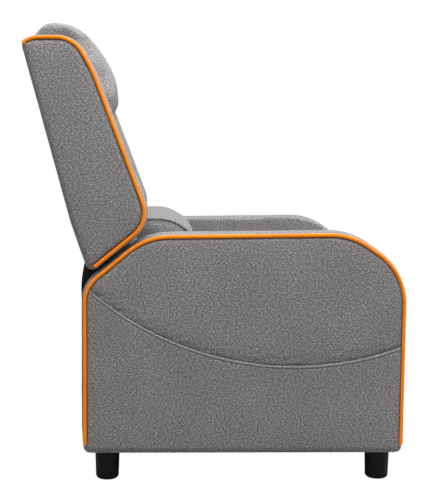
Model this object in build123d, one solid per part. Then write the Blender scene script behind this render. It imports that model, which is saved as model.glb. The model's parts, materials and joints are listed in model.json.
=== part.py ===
from build123d import *
from math import atan2, cos, degrees, hypot, radians, sin, tan
import os

# Push-back reclining armchair, in millimetres.
# The chair stands on the floor at z = 0 and faces -Y. X runs across it, +X to the sitter's left.
# The origin is on the floor, in the middle of the whole chair's width and depth.

# Driving sizes
overall_depth = 807
seat_width = 500
arm_width = 80
base_bottom = 62
seat_frame_bottom = 363.5
arm_top = 537.5
back_top = 943
back_lean = 15.25
recline_angle = 40
footrest_swing = 94

# Cloth, wood and steel
fabric_gap = 0.5
touch_gap = 0.3
wood_gap = 0.2
pin_clearance = 0.05
loose_clearance = 0.3
overrun = 5
plate_thickness = 3
layer_gap = 1
piping_radius = 3.8

half_seat = seat_width / 2
half_width = half_seat + arm_width


def sin_d(angle):
    return sin(radians(angle))


def cos_d(angle):
    return cos(radians(angle))


def tan_d(angle):
    return tan(radians(angle))


def along(start, angle, distance):
    """The point at a distance from start, at an angle from straight forward towards up."""
    return (start[0] - distance * cos_d(angle), start[1] + distance * sin_d(angle))


def outline_face(corners, radii):
    """A face in the side plane (Y, Z) with each corner rounded."""
    with BuildLine(Plane.YZ) as line:
        FilletPolyline(*corners, radius=radii, close=True)
    return make_face(line.edges())


def side_slab(face, x_start, x_end):
    """A side-plane face given thickness from x_start to x_end."""
    return extrude(Pos(x_start, 0, 0) * face, amount=x_end - x_start, dir=(1, 0, 0))


def box_between(low, high):
    size = [high[i] - low[i] for i in range(len(low))]
    middle = [(high[i] + low[i]) / 2 for i in range(len(low))]
    return Pos(*middle) * Box(*size)


def cross_pin(place, radius, x_start, x_end):
    """A round bar along X at a side-plane place."""
    bar = Cylinder(radius, abs(x_end - x_start), rotation=(0, 90, 0))
    return Pos((x_start + x_end) / 2, place[0], place[1]) * bar


def inset(corners, distance):
    """The corners of an anticlockwise side-plane outline, moved inwards by a distance."""
    moved = []
    count = len(corners)
    for i in range(count):
        before, here, after = corners[i - 1], corners[i], corners[(i + 1) % count]
        lines = []
        for a, b in ((before, here), (here, after)):
            run, rise = b[0] - a[0], b[1] - a[1]
            size = hypot(run, rise)
            lines.append((a[0] - rise / size * distance, a[1] + run / size * distance, run, rise))
        (ay, az, ar, ae), (by, bz, br, be) = lines
        share = ((by - ay) * be - (bz - az) * br) / (ar * be - ae * br)
        moved.append((ay + ar * share, az + ae * share))
    return moved


def piping(path_points, radii, x):
    """A round welt that follows a side-plane line at a place across the chair."""
    points = [(x, point[0], point[1]) for point in path_points]
    path = FilletPolyline(*points, radius=radii)
    section = Plane(path @ 0, z_dir=path % 0) * Circle(piping_radius)
    return sweep(section, path=path)


def mirrored(shape):
    return mirror(shape, about=Plane.YZ)


def save(name, *shapes):
    solids = [solid for shape in shapes for solid in shape.solids()]
    model = solids[0] if len(solids) == 1 else Compound(children=solids)
    export_step(model, f"parts/{name}.step")


def save_pair(name, shape):
    """The given left-hand piece and its mirror image."""
    save(f"{name}_left", shape)
    save(f"{name}_right", mirrored(shape))


# The back stands on the base's rear and leans out behind it. The base takes the rest of the depth.
seat_frame_height = 30
seat_frame_top = seat_frame_bottom + seat_frame_height
back_foot_rise = 54
back_foot_setback = 5.8
back_rear_corner_radius = 28
back_rear_corner_trim = back_rear_corner_radius * (1 / tan_d((90 - back_lean) / 2) - 1)
back_origin_z = seat_frame_top + back_foot_rise
back_run = (back_top - back_origin_z) * tan_d(back_lean)
back_height = (back_top - back_origin_z) / cos_d(back_lean)
base_length = overall_depth - back_run + back_rear_corner_trim + back_foot_setback
base_front = -overall_depth / 2
base_rear = base_front + base_length

# Side outline of an arm, anticlockwise from the bottom at the rear, seen with +Y to the right
rear_shoulder_drop = 115.5
rear_shoulder_run = 131
rear_top_drop = 6.5
front_shoulder_drop = 80.5
front_shoulder_run = 121
arm_bottom_radius = 16
rear_shoulder_radius = 72
rear_top_radius = 142
front_top_radius = 140
front_shoulder_radius = 135

arm_corners = [
    (base_front, base_bottom),
    (base_rear, base_bottom),
    (base_rear, arm_top - rear_shoulder_drop),
    (base_rear - rear_shoulder_run, arm_top - rear_top_drop),
    (base_front + front_shoulder_run, arm_top),
    (base_front, arm_top - front_shoulder_drop),
]
arm_radii = [
    arm_bottom_radius, arm_bottom_radius, rear_shoulder_radius,
    rear_top_radius, front_top_radius, front_shoulder_radius,
]

# Layers across an arm, from the inside out
panel_thickness = 6
lap_thickness = 3
pad_outer = half_width - panel_thickness - lap_thickness
panel_outer = pad_outer + panel_thickness
piping_inset = piping_radius + fabric_gap
piping_x = pad_outer + piping_radius + touch_gap / 3
panel_inset = piping_inset + piping_radius + fabric_gap
arm_edge_radius = 12
arm_wall = 14
arm_skin = 17
arm_middle = (half_seat + pad_outer) / 2
frame_inner = half_seat + arm_skin
frame_outer = pad_outer - arm_skin

# Feet under the arms
foot_top_radius = 26.5
foot_bottom_radius = 24.5
foot_edge_radius = 8
foot_front_setback = 47.5
foot_rear_setback = 51
foot_bolt_radius = 4
foot_bolt_reach = 30
foot_bolt_depth = 40
foot_places = {
    "front": base_front + foot_front_setback,
    "rear": base_rear - foot_rear_setback,
}

# Arm frame board and its battens
frame_board_thickness = 15
batten_width = 38
lightening_radius = 14
lightening_columns = 5
lightening_rows = 2
lightening_width_share = 0.62
lightening_height_share = 0.68

# Arc seam where the lower side panel laps over the upper one
seam_radius = 665
seam_setback = 238.5
seam_rise = 192
seam_centre = (base_front + seam_setback, base_bottom + seam_rise + seam_radius)

# Footrest in front, folded down between the arms
footrest_drop = 8
footrest_lift = 22
footrest_side_gap = 5
footrest_front_setback = 9
footrest_pad_thickness = 36
footrest_crown = 9
footrest_edge_radius = 16
footrest_board_thickness = 15
footrest_board_inset = 7
footrest_top = seat_frame_top - footrest_drop
footrest_bottom = base_bottom + footrest_lift
footrest_front = base_front + footrest_front_setback
footrest_board_front = footrest_front + footrest_pad_thickness
footrest_back = footrest_board_front + footrest_board_thickness
footrest_half_width = half_seat - footrest_side_gap

# Angle brackets on the board and their screws
flange_width = 30
flange_margin = 22
screw_radius = 2.5
screw_head_radius = 5
screw_head_height = 2
screw_length = 12

# Seat frame, its springs and cushion
footrest_back_gap = 6
seat_frame_rear_setback = 117.5
seat_rail_width = 45
seat_frame_front = footrest_back + footrest_back_gap
seat_frame_rear = base_rear - seat_frame_rear_setback
seat_bolt_margin = 15
spring_count = 5
spring_wire_radius = 1.9
spring_wire_sides = 6
spring_loops = 12
spring_loop_width = 44
spring_bend_share = 0.45
clip_length = 22
clip_width = 14
clip_wall = 1.5
clip_height = (clip_wall + spring_wire_radius + touch_gap) * 2
cushion_front_setback = 14
cushion_rear_setback = 132.5
cushion_rear = base_rear - cushion_rear_setback
cushion_bottom = seat_frame_top + clip_height + touch_gap
cushion_height = 82
cushion_top = seat_frame_top + cushion_height
cushion_crown = 8
cushion_side_drop = 12
cushion_draw_in = 5
cushion_side_gap = 3
cushion_crest_share = 0.45
# Share of the half width, of the crown and of the drawn-in edge at each cushion section
cushion_stations_shares = [
    (-1.0, 0.0, 1.0), (-0.93, 0.45, 0.35), (-0.6, 0.85, 0.0), (0.0, 1.0, 0.0),
    (0.6, 0.85, 0.0), (0.93, 0.45, 0.35), (1.0, 0.0, 1.0),
]
cushion_nose_radius = 32
cushion_edge_radius = 12

# Cross members of the base
rear_rail_thickness = 25
rear_rail_lift = 15
rear_rail_bottom = base_bottom + rear_rail_lift
rear_rail_height = 100
rear_panel_thickness = 14
rear_panel_drop = 66
rear_panel_top = seat_frame_bottom - rear_panel_drop
rear_panel_setback = 3
rear_panel_lift = 4
stretcher_setback = 351.5
stretcher_y = base_front + stretcher_setback
stretcher_thickness = 22
stretcher_height = 55

# Bolts that hold the cross members and the mechanism plates to the arms
bolt_radius = 4
bolt_head_radius = 7
bolt_head_height = 4
bolt_grip = 30

# Back pivot and side outline of the back, whose s runs up along the back and d forward of its rear
pivot_setback = 42.5
pivot_rise = 24
back_pivot = (base_rear - pivot_setback, seat_frame_top + pivot_rise)
back_origin = (base_rear - back_foot_setback, back_origin_z)


def back_point(s, d):
    """A side-plane place from its distance up the back and its depth forward of the rear line."""
    return (
        back_origin[0] + s * sin_d(back_lean) - d * cos_d(back_lean),
        back_origin[1] + s * cos_d(back_lean) + d * sin_d(back_lean),
    )


back_depth = 164
back_rear_corner_drop = 2
wing_nose_rise = 70
wing_kink_share = 0.7836
wing_kink_depth = 130.6
wing_brow_drop = 29.4
wing_brow_depth = 109.5
wing_foot_drop = 0.5
wing_foot_depth = 7.7
wing_rear_bend_rise = 112
wing_nose_radius = 64.5
wing_kink_radius = 250
wing_top_radius = 66
wing_bottom_radius = 12
wing_bend_radius = 300

wing_corners = [
    back_point(-wing_foot_drop, wing_foot_depth),
    back_point(wing_rear_bend_rise, 0),
    back_point(back_height - back_rear_corner_drop, 0),
    back_point(back_height - wing_brow_drop, wing_brow_depth),
    back_point(back_height * wing_kink_share, wing_kink_depth),
    back_point(wing_nose_rise, back_depth),
]
wing_radii = [
    wing_bottom_radius, wing_bend_radius, back_rear_corner_radius,
    wing_top_radius, wing_kink_radius, wing_nose_radius,
]
wing_overhang = 4
wing_inner = half_seat - wing_overhang
wing_edge_radius = 5
piping_start_share = 1.1
piping_end_share = 0.5

# Core of the back between the wings
core_side_gap = 9
core_half_width = half_seat - core_side_gap
shell_thickness = 12
shell_bottom_s = 14
shell_top_drop = 30
shell_top_s = back_height - shell_top_drop
back_frame_depth = 40
upright_width = 36
upright_bottom_s = 8
upright_top_drop = 43
upright_top_s = back_height - upright_top_drop
slat_thickness = 18
slat_height = 62
slat_count = 4
frame_back_d = shell_thickness + wood_gap
frame_front_d = frame_back_d + back_frame_depth
cushion_back_d = frame_front_d + fabric_gap

# Front cushion, head section and lumbar roll
head_length = 193
cushion_hang = 9
back_cushion_top_s = back_height - head_length
back_cushion_channels = 2
channel_depth = 7
channel_half_width = 9
head_bottom_s = back_cushion_top_s + fabric_gap * 2
roll_end_gap = 36
roll_half_length = core_half_width - roll_end_gap
roll_lift = 2
roll_end_depth = 48
roll_end_height = 41
roll_middle_depth = 60
roll_middle_height = 47
roll_rear_share = 0.659
roll_rear = back_origin[0] - back_depth * roll_rear_share
roll_front_share = 1.7
roll_stations_shares = [
    (-1, 0, 0.6), (-0.9, 0.35, 1), (-0.5, 0.85, 1), (0, 1, 1), (0.5, 0.85, 1), (0.9, 0.35, 1), (1, 0, 0.6),
]
# Corners of the roll's section as shares of its half depth and half height, each with its radius as a
# share of the smaller of the two. Its top slopes down to the front.
roll_corner_shares = [(-1, -1, 0.64), (1, -1, 0.43), (1, 1, 0.64), (-0.2, 1, 1.9), (-1, 0.25, 0.96)]

# Front of the back at the middle and at the edge of the core: shares of each part's length, up the
# back, and of the back's depth. The cushion's foot is hollow where the lumbar roll lies.
back_cushion_middle_shares = [(0, 0.659), (0.28, 0.79), (0.368, 0.955), (1, 0.8)]
back_cushion_edge_shares = [(0, 0.593), (0.28, 0.7), (0.356, 0.86), (1, 0.73)]
back_cushion_radii = [14, 0, 0, 14, 24, 24]
head_middle_shares = [
    (0, 0.799), (0.148, 0.976), (0.575, 0.92), (1.06, 0.655), (1.19, 0.31), (0.99, 0.055),
]
head_edge_shares = [(0, 0.744), (0.106, 0.878), (0.539, 0.848), (0.95, 0.69), (1.12, 0.27), (0.975, 0.05)]
head_radii = [8, 22, 120, 60, 34, 10]
head_rear_depth = 2

# Cloth behind the gap under the back
cloth_thickness = 2.5
cloth_side_gap = 6
cloth_bulge = 15
cloth_bulge_height_share = 0.68
cloth_top_s = 24
cloth_bulge_shares = [(-1, 0.7), (-0.5, 1), (0, 0.85), (0.5, 1), (1, 0.7)]

# Steel brackets that carry the back, and their bolts
bracket_width = 34
bracket_bolt_radius = 3
bracket_bolt_head_radius = 6
bracket_bolt_length = 28
bracket_bolt_shares = (0.3, 0.6, 0.9)
bracket_top_s = 175

# Footrest linkage: two parallelograms a side, so that the bars keep exact step with each other
bar_width = 24
pin_radius = 4
rivet_head_radius = 8
rivet_head_height = 0.8
tube_radius = 9
tube_wall = 2
drive_pin_radius = 5
crank_length = 148
crank_rest_angle = -116
toe_length = 90
toe_rest_angle = -90
rear_offset_length = 60
rear_offset_angle = 200
bracket_depth = 16
lift_pin_drop = 53

# Pressed steel plate on each arm that carries the fixed pivots
plate_drop = 21
plate_height = 45
plate_front_reach = 27
plate_rise_run = 75
drive_pivot_setback = 116.5
drive_pivot_lift = 18
plate_corner_share = 0.9
plate_bolt_shares = (0.42, 0.68, 0.94)
plate_top = seat_frame_bottom - plate_drop
plate_bottom = plate_top - plate_height
drive_pivot = (base_front + drive_pivot_setback, plate_bottom + drive_pivot_lift)
plate_front = drive_pivot[0] - plate_front_reach
plate_rise = back_pivot[0] - plate_rise_run
lift_pin = (footrest_back + bracket_depth, footrest_top - lift_pin_drop)

crank_pin = along(drive_pivot, crank_rest_angle, crank_length)
toe_pin = along(crank_pin, toe_rest_angle, toe_length)
rear_pivot = along(drive_pivot, rear_offset_angle, rear_offset_length)
rear_pin = along(crank_pin, rear_offset_angle, rear_offset_length)
lower_pin = (lift_pin[0] + toe_pin[0] - crank_pin[0], lift_pin[1] + toe_pin[1] - crank_pin[1])

# Drive rod from the back's bracket to the drive link. Its front eye is wide, because the true
# path of its pin is not quite the one that constant ratios between the joints give.
back_lever = 60
drive_lever = 27
rod_lean = 8
rod_width = 15
rod_eye_radius = 10.5
rod_eye_play = 2.6
rod_eye_direction = -115
back_eye_radius = 16
lug_pin = along(back_pivot, -90 - recline_angle / 2, back_lever)
rod_pin = along(drive_pivot, -90 - rod_lean - footrest_swing / 2, drive_lever)
rod_eye = along(rod_pin, rod_eye_direction, rod_eye_play)

# Layers of the mechanism, counted inwards from the arm
layer_pitch = plate_thickness + layer_gap


def layer(number):
    """The inner and outer x of a mechanism layer on the left side."""
    outer = half_seat - layer_gap - number * layer_pitch
    return outer - plate_thickness, outer


# Arms

def seam_disc(extra):
    """A thick disc whose rim is the arc seam, larger by extra."""
    return cross_pin(seam_centre, seam_radius + extra, pad_outer - overrun, half_width + overrun)


def bolt_places():
    """Side-plane places of the bolts into the arms, each with the x of its head's seat."""
    seat_z = seat_frame_bottom + seat_frame_height / 2
    front = seat_frame_front + seat_rail_width + seat_bolt_margin
    rear = seat_frame_rear - seat_rail_width - seat_bolt_margin
    seat_x = half_seat - fabric_gap - seat_rail_width
    return [(y, seat_z, seat_x) for y in (front, (front + rear) / 2, rear)]


def plate_bolt_places():
    """Side-plane places of the bolts that hold a mechanism plate."""
    z = (plate_top + plate_bottom) / 2
    return [(plate_front + (plate_rise - plate_front) * share, z) for share in plate_bolt_shares]


def bolts_for_side():
    bolts = []
    for y, z, head_x in bolt_places():
        shank = cross_pin((y, z), bolt_radius, head_x, half_seat + bolt_grip)
        head = cross_pin((y, z), bolt_head_radius, head_x - bolt_head_height, head_x)
        bolts.append(shank + head)
    inner, outer = layer(0)
    for place in plate_bolt_places():
        shank = cross_pin(place, bolt_radius, inner, half_seat + bolt_grip)
        head = cross_pin(place, bolt_head_radius, inner - bolt_head_height / 2, inner)
        bolts.append(shank + head)
    return bolts


def foot_bolt(y):
    bottom = base_bottom - foot_bolt_depth
    top = base_bottom + foot_bolt_reach
    return Pos(arm_middle, y, (bottom + top) / 2) * Cylinder(foot_bolt_radius, top - bottom)


def drill(shape, bolts, clearance):
    """The shape with a clearance hole for each straight bolt."""
    for place, radius, x_start, x_end in bolts:
        shape -= cross_pin(place, radius + clearance, x_start, x_end)
    return shape


def side_drills():
    """The arm holes of one side as place, radius and x range."""
    reach = half_seat + bolt_grip + overrun
    places = [(y, z) for y, z, head_x in bolt_places()] + plate_bolt_places()
    return [(place, bolt_radius, half_seat - overrun, reach) for place in places]


def foot_drill(y):
    height = foot_bolt_depth + foot_bolt_reach + overrun
    middle = base_bottom - foot_bolt_depth + height / 2
    return Pos(arm_middle, y, middle) * Cylinder(foot_bolt_radius + wood_gap, height)


def make_arm_pad():
    body = side_slab(outline_face(arm_corners, arm_radii), half_seat, pad_outer)
    inner_edges = body.edges().filter_by(lambda edge: abs(edge.center().X - half_seat) < fabric_gap)
    body = fillet(inner_edges, arm_edge_radius)
    cavity_corners = inset(arm_corners, arm_wall)
    cavity_radii = [max(radius - arm_wall, 0) for radius in arm_radii]
    body -= side_slab(outline_face(cavity_corners, cavity_radii), frame_inner, frame_outer)
    for y in foot_places.values():
        body -= foot_drill(y)
    return drill(body, side_drills(), wood_gap)


def make_arm_frame():
    wall = arm_wall + wood_gap
    corners = inset(arm_corners, wall)
    radii = [max(radius - arm_wall, 0) for radius in arm_radii]
    inner = frame_inner + wood_gap
    outer = frame_outer - wood_gap
    blank = side_slab(outline_face(corners, radii), inner, outer)
    hollow = inset(arm_corners, wall + batten_width)
    hollow_radii = [max(radius - wall - batten_width, batten_width / 2) for radius in arm_radii]
    board_inner = outer - frame_board_thickness
    frame = blank - side_slab(outline_face(hollow, hollow_radii), inner - overrun, board_inner)
    field_front = base_front + wall + batten_width
    field_bottom = base_bottom + wall + batten_width
    pitch_y = (base_length - (wall + batten_width) * 2) / lightening_columns
    pitch_z = (plate_bottom - field_bottom) / lightening_rows
    width = pitch_y * lightening_width_share
    height = pitch_z * lightening_height_share
    hole = RectangleRounded(width, height, lightening_radius)
    for row in range(lightening_rows):
        for column in range(lightening_columns):
            y = field_front + (column + 0.5) * pitch_y
            z = field_bottom + (row + 0.5) * pitch_z
            window = extrude(Plane.YZ * Pos(y, z) * hole, amount=half_width + overrun)
            frame -= window
    for y in foot_places.values():
        frame -= foot_drill(y)
    spine = box_between(
        (inner, seat_frame_front, plate_bottom),
        (outer - frame_board_thickness, seat_frame_rear, seat_frame_top),
    )
    frame += spine - box_between(
        (frame_outer - frame_board_thickness, base_front, base_bottom), (half_width, base_rear, arm_top)
    )
    return drill(frame, side_drills(), wood_gap)


def panel_blank(x_end):
    corners = inset(arm_corners, panel_inset)
    radii = [radius - panel_inset for radius in arm_radii]
    return side_slab(outline_face(corners, radii), pad_outer, x_end)


def make_upper_panel():
    return panel_blank(panel_outer) & seam_disc(-touch_gap)


def make_lower_panel():
    return panel_blank(half_width) - seam_disc(0)


def make_arm_piping():
    corners = inset(arm_corners, piping_inset)
    radii = [radius - piping_inset for radius in arm_radii]
    start = (corners[1][0], corners[1][1] + arm_bottom_radius)
    end = (corners[0][0], corners[0][1] + arm_bottom_radius)
    points = [start] + corners[2:] + [end]
    return piping(points, radii[2:], piping_x)


def make_foot():
    with BuildSketch(Plane.XZ) as profile:
        with BuildLine():
            Polyline((0, 0), (foot_bottom_radius, 0), (foot_top_radius, base_bottom), (0, base_bottom), (0, 0))
        make_face()
        corner = profile.vertices().sort_by_distance((foot_bottom_radius, 0, 0))[0]
        fillet(corner, foot_edge_radius)
    foot = revolve(profile.sketch, axis=Axis.Z)
    bore_depth = foot_bolt_depth + wood_gap
    bore = Pos(0, 0, base_bottom - bore_depth / 2 + overrun / 2) * Cylinder(
        foot_bolt_radius + wood_gap, bore_depth + overrun
    )
    return foot - bore


# Seat

def make_seat_frame():
    half = half_seat - fabric_gap
    ring = box_between((-half, seat_frame_front, seat_frame_bottom), (half, seat_frame_rear, seat_frame_top))
    ring -= box_between(
        (-half + seat_rail_width, seat_frame_front + seat_rail_width, seat_frame_bottom - overrun),
        (half - seat_rail_width, seat_frame_rear - seat_rail_width, seat_frame_top + overrun),
    )
    for y, z, head_x in bolt_places():
        for side in (1, -1):
            reach = (side * (head_x - overrun), side * (half + overrun))
            ring -= cross_pin((y, z), bolt_radius + wood_gap, *reach)
    return ring


def spring_rows():
    """The x of each zigzag spring."""
    pitch = (seat_width - seat_rail_width * 2) / spring_count
    return [(row - (spring_count - 1) / 2) * pitch for row in range(spring_count)]


def make_spring(x):
    """A flat wire zigzag from the front rail to the rear rail, with few faces round its thin wire."""
    start = seat_frame_front + seat_rail_width - clip_length / 2
    end = seat_frame_rear - seat_rail_width + clip_length / 2
    pitch = (end - start) / spring_loops
    z = seat_frame_top + clip_wall + spring_wire_radius + touch_gap
    half = spring_loop_width / 2
    points = [(x, start, z)]
    for loop in range(spring_loops):
        side = half if loop % 2 == 0 else -half
        points.append((x + side, start + pitch * loop, z))
        points.append((x + side, start + pitch * (loop + 1), z))
    points.append((x, end, z))
    path = FilletPolyline(*points, radius=min(pitch, spring_loop_width) * spring_bend_share)
    section = Plane(path @ 0, z_dir=path % 0) * RegularPolygon(spring_wire_radius, spring_wire_sides)
    return sweep(section, path=path)


def make_clip(x, y, outward):
    """A folded steel clip, open towards the spring, that holds the spring's end on its rail."""
    width = spring_loop_width + clip_width
    base_y = y - clip_length / 2
    outer = box_between(
        (x - width / 2, base_y, seat_frame_top),
        (x + width / 2, base_y + clip_length, seat_frame_top + clip_height),
    )
    gap_y = base_y + (clip_wall if outward < 0 else -clip_wall)
    inner = box_between(
        (x - width / 2 - overrun, gap_y, seat_frame_top + clip_wall),
        (x + width / 2 + overrun, gap_y + clip_length, seat_frame_top + clip_height - clip_wall),
    )
    return outer - inner


def loft_across(sections):
    """A solid through side-plane outlines at places across the chair, each as x, corners and radii."""
    faces = [Pos(x, 0, 0) * outline_face(corners, radii) for x, corners, radii in sections]
    return loft(faces)


def make_seat_cushion():
    half = half_seat - cushion_side_gap
    front = base_front + cushion_front_setback
    sections = []
    for width_share, crown_share, draw_share in cushion_stations_shares:
        draw = cushion_draw_in * draw_share
        top = cushion_top - cushion_side_drop * draw_share + cushion_crown * crown_share
        rear_top = top - cushion_crown
        middle_y = front + (cushion_rear - front) * cushion_crest_share
        corners = [
            (front + draw, cushion_bottom + draw / 2), (cushion_rear - draw, cushion_bottom + draw / 2),
            (cushion_rear - draw, rear_top), (middle_y, top), (front + draw, top - cushion_crown),
        ]
        edge = cushion_edge_radius
        radii = [edge, edge, edge, base_length, cushion_nose_radius]
        sections.append((half * width_share, corners, radii))
    return loft_across(sections)


def make_rear_rail():
    half = half_seat - fabric_gap
    rear = base_rear - rear_panel_setback - rear_panel_thickness - wood_gap
    return box_between(
        (-half, rear - rear_rail_thickness, rear_rail_bottom), (half, rear, rear_rail_bottom + rear_rail_height)
    )


def make_stretcher():
    half = half_seat - fabric_gap
    return box_between(
        (-half, stretcher_y - stretcher_thickness / 2, rear_rail_bottom),
        (half, stretcher_y + stretcher_thickness / 2, rear_rail_bottom + stretcher_height),
    )


def make_rear_panel():
    half = half_seat - fabric_gap
    rear = base_rear - rear_panel_setback
    panel = box_between(
        (-half, rear - rear_panel_thickness, base_bottom + rear_panel_lift), (half, rear, rear_panel_top)
    )
    outer = panel.edges().filter_by(Axis.X).group_by(Axis.Y)[-1]
    return fillet(outer, rear_panel_thickness / 3)


def make_gap_cloth():
    """Loose cloth from the rear panel's top to the back, bowed outwards, with its edges drawn in."""
    sections = []
    low_outer = (base_rear - rear_panel_setback, rear_panel_top + touch_gap)
    low_inner = (low_outer[0] - cloth_thickness, low_outer[1])
    top_outer = back_point(cloth_top_s, -touch_gap - cloth_thickness)
    top_inner = back_point(cloth_top_s, -touch_gap)
    for width_share, bulge_share in cloth_bulge_shares:
        bulge_y = base_rear + cloth_bulge * bulge_share
        bulge_z = low_outer[1] + (top_outer[1] - low_outer[1]) * cloth_bulge_height_share
        with BuildLine(Plane.YZ) as line:
            ThreePointArc(low_outer, (bulge_y, bulge_z), top_outer)
            Line(top_outer, top_inner)
            ThreePointArc(top_inner, (bulge_y - cloth_thickness, bulge_z), low_inner)
            Line(low_inner, low_outer)
        face = make_face(line.edges())
        sections.append(Pos((half_seat - cloth_side_gap) * width_share, 0, 0) * face)
    return loft(sections)


# Back

def make_wing():
    pad = side_slab(outline_face(wing_corners, wing_radii), wing_inner, pad_outer)
    outer_corners = inset(wing_corners, panel_inset)
    outer_radii = [max(radius - panel_inset, wing_edge_radius) for radius in wing_radii]
    panel = side_slab(outline_face(outer_corners, outer_radii), pad_outer, panel_outer)
    edges = panel.edges().filter_by(lambda edge: abs(edge.center().X - panel_outer) < fabric_gap)
    panel = fillet(edges, wing_edge_radius / 2)
    return pad + panel


def make_wing_piping():
    corners = inset(wing_corners, piping_inset)
    radii = [radius - piping_inset for radius in wing_radii]
    start = corners[0]
    rear_top = corners[2]
    nose = corners[5]
    reach = hypot(nose[0] - start[0], nose[1] - start[1])
    share = wing_bottom_radius * piping_start_share / reach
    first = (start[0] + (nose[0] - start[0]) * share, start[1] + (nose[1] - start[1]) * share)
    brow = corners[3]
    width = hypot(brow[0] - rear_top[0], brow[1] - rear_top[1])
    share = back_rear_corner_radius * piping_end_share / width
    last = (rear_top[0] + (brow[0] - rear_top[0]) * share, rear_top[1] + (brow[1] - rear_top[1]) * share)
    return piping([first, nose, corners[4], brow, last], [radii[5], radii[4], radii[3]], piping_x)


def back_slab(corner_sd, radii, x_start, x_end):
    """A slab whose outline is given up the back and forward of its rear line."""
    corners = [back_point(s, d) for s, d in corner_sd]
    return side_slab(outline_face(corners, radii), x_start, x_end)


def rectangle_sd(s_low, s_high, d_low, d_high):
    return [(s_low, d_high), (s_low, d_low), (s_high, d_low), (s_high, d_high)]


def make_back_shell():
    corners = rectangle_sd(shell_bottom_s, shell_top_s, 0, shell_thickness)
    radii = [0, shell_thickness / 2, shell_thickness / 2, 0]
    return back_slab(corners, radii, -core_half_width, core_half_width)


def make_back_frame():
    frame = None
    corners = rectangle_sd(upright_bottom_s, upright_top_s, frame_back_d, frame_front_d)
    for side in (1, -1):
        x_low = core_half_width - upright_width
        x_range = sorted((side * x_low, side * core_half_width))
        upright = back_slab(corners, [0, 0, 0, 0], *x_range)
        frame = upright if frame is None else frame + upright
    pitch = (upright_top_s - upright_bottom_s - slat_height) / (slat_count - 1)
    half = core_half_width - upright_width / 2
    for row in range(slat_count):
        low = upright_bottom_s + row * pitch
        slat = rectangle_sd(low, low + slat_height, frame_front_d - slat_thickness, frame_front_d)
        frame += back_slab(slat, [0, 0, 0, 0], -half, half)
    return frame


def bracket_bolt_places():
    low = upright_bottom_s + bracket_width / 2
    middle_d = (frame_back_d + frame_front_d) / 2
    return [back_point(low + (bracket_top_s - low) * share - bracket_width / 3, middle_d)
            for share in bracket_bolt_shares]


def capsule(start, end, radius, x_start, x_end):
    """A flat bar with round ends between two side-plane places."""
    run, rise = end[0] - start[0], end[1] - start[1]
    length = hypot(run, rise)
    bar = Plane.YZ * Pos((start[0] + end[0]) / 2, (start[1] + end[1]) / 2) * Rot(
        0, 0, degrees(atan2(rise, run))
    ) * SlotCenterToCenter(length, radius * 2)
    return Pos(x_start, 0, 0) * extrude(bar, amount=x_end - x_start)


def make_back_bracket():
    """Steel arm from the lever below the pivot up the outside of the back's upright."""
    inner, outer = layer(1)
    middle_d = (frame_back_d + frame_front_d) / 2
    foot = back_point(upright_bottom_s + bracket_width / 2, middle_d)
    head = back_point(bracket_top_s, middle_d)
    arm = capsule(back_pivot, foot, back_eye_radius, inner, outer)
    arm += capsule(foot, head, bracket_width / 2, inner, outer)
    arm += capsule(back_pivot, lug_pin, rod_eye_radius, inner, outer)
    arm -= cross_pin(back_pivot, drive_pin_radius + pin_clearance, inner - overrun, outer + overrun)
    arm -= cross_pin(lug_pin, pin_radius, inner - overrun, outer + overrun)
    for place in bracket_bolt_places():
        arm -= cross_pin(place, bracket_bolt_radius + wood_gap, inner - overrun, outer + overrun)
    return arm


def make_bracket_bolts():
    inner, outer = layer(1)
    bolts = []
    for place in bracket_bolt_places():
        shank = cross_pin(place, bracket_bolt_radius, outer - bracket_bolt_length, outer)
        head = cross_pin(place, bracket_bolt_head_radius, outer, outer + rivet_head_height)
        bolts.append(shank + head)
    return bolts


def bored_back_frame():
    frame = make_back_frame()
    inner, outer = layer(1)
    for place in bracket_bolt_places():
        for side in (1, -1):
            reach = sorted((side * (outer - bracket_bolt_length - wood_gap), side * (outer + overrun)))
            frame -= cross_pin(place, bracket_bolt_radius + wood_gap, *reach)
    return frame


def front_points(edge_shares, middle_shares, crown_share, s_low, s_high):
    """Side-plane points (s, d) of a front between its edge and middle outlines."""
    points = []
    for (edge_s, edge_d), (middle_s, middle_d) in zip(edge_shares, middle_shares):
        share_s = edge_s + (middle_s - edge_s) * crown_share
        share_d = edge_d + (middle_d - edge_d) * crown_share
        points.append((s_low + (s_high - s_low) * share_s, back_depth * share_d))
    return points


def make_back_cushion():
    sections = []
    for width_share, crown_share, draw_share in cushion_stations_shares:
        front = front_points(
            back_cushion_edge_shares, back_cushion_middle_shares, crown_share, -cushion_hang, back_cushion_top_s
        )
        rear_low = (-cushion_hang, cushion_back_d)
        rear_high = (back_cushion_top_s, cushion_back_d)
        corners = [back_point(*point) for point in [front[0], rear_low, rear_high] + front[:0:-1]]
        sections.append((core_half_width * width_share, corners, back_cushion_radii))
    cushion = loft_across(sections)
    return cut_channels(cushion)


def cut_channels(cushion):
    """Sewn channels across the front, each a shallow groove that a round bar leaves."""
    middle = front_points(
        back_cushion_edge_shares, back_cushion_middle_shares, 1, -cushion_hang, back_cushion_top_s
    )
    (low, low_d), (high, high_d) = middle[-2:]
    for row in range(back_cushion_channels):
        share = (row + 1) / (back_cushion_channels + 1)
        s = low + (high - low) * share
        front_d = low_d + (high_d - low_d) * share
        bar_radius = (channel_depth ** 2 + channel_half_width ** 2) / (2 * channel_depth)
        place = back_point(s, front_d - channel_depth + bar_radius)
        cushion -= cross_pin(place, bar_radius, -half_seat, half_seat)
    return cushion


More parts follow.
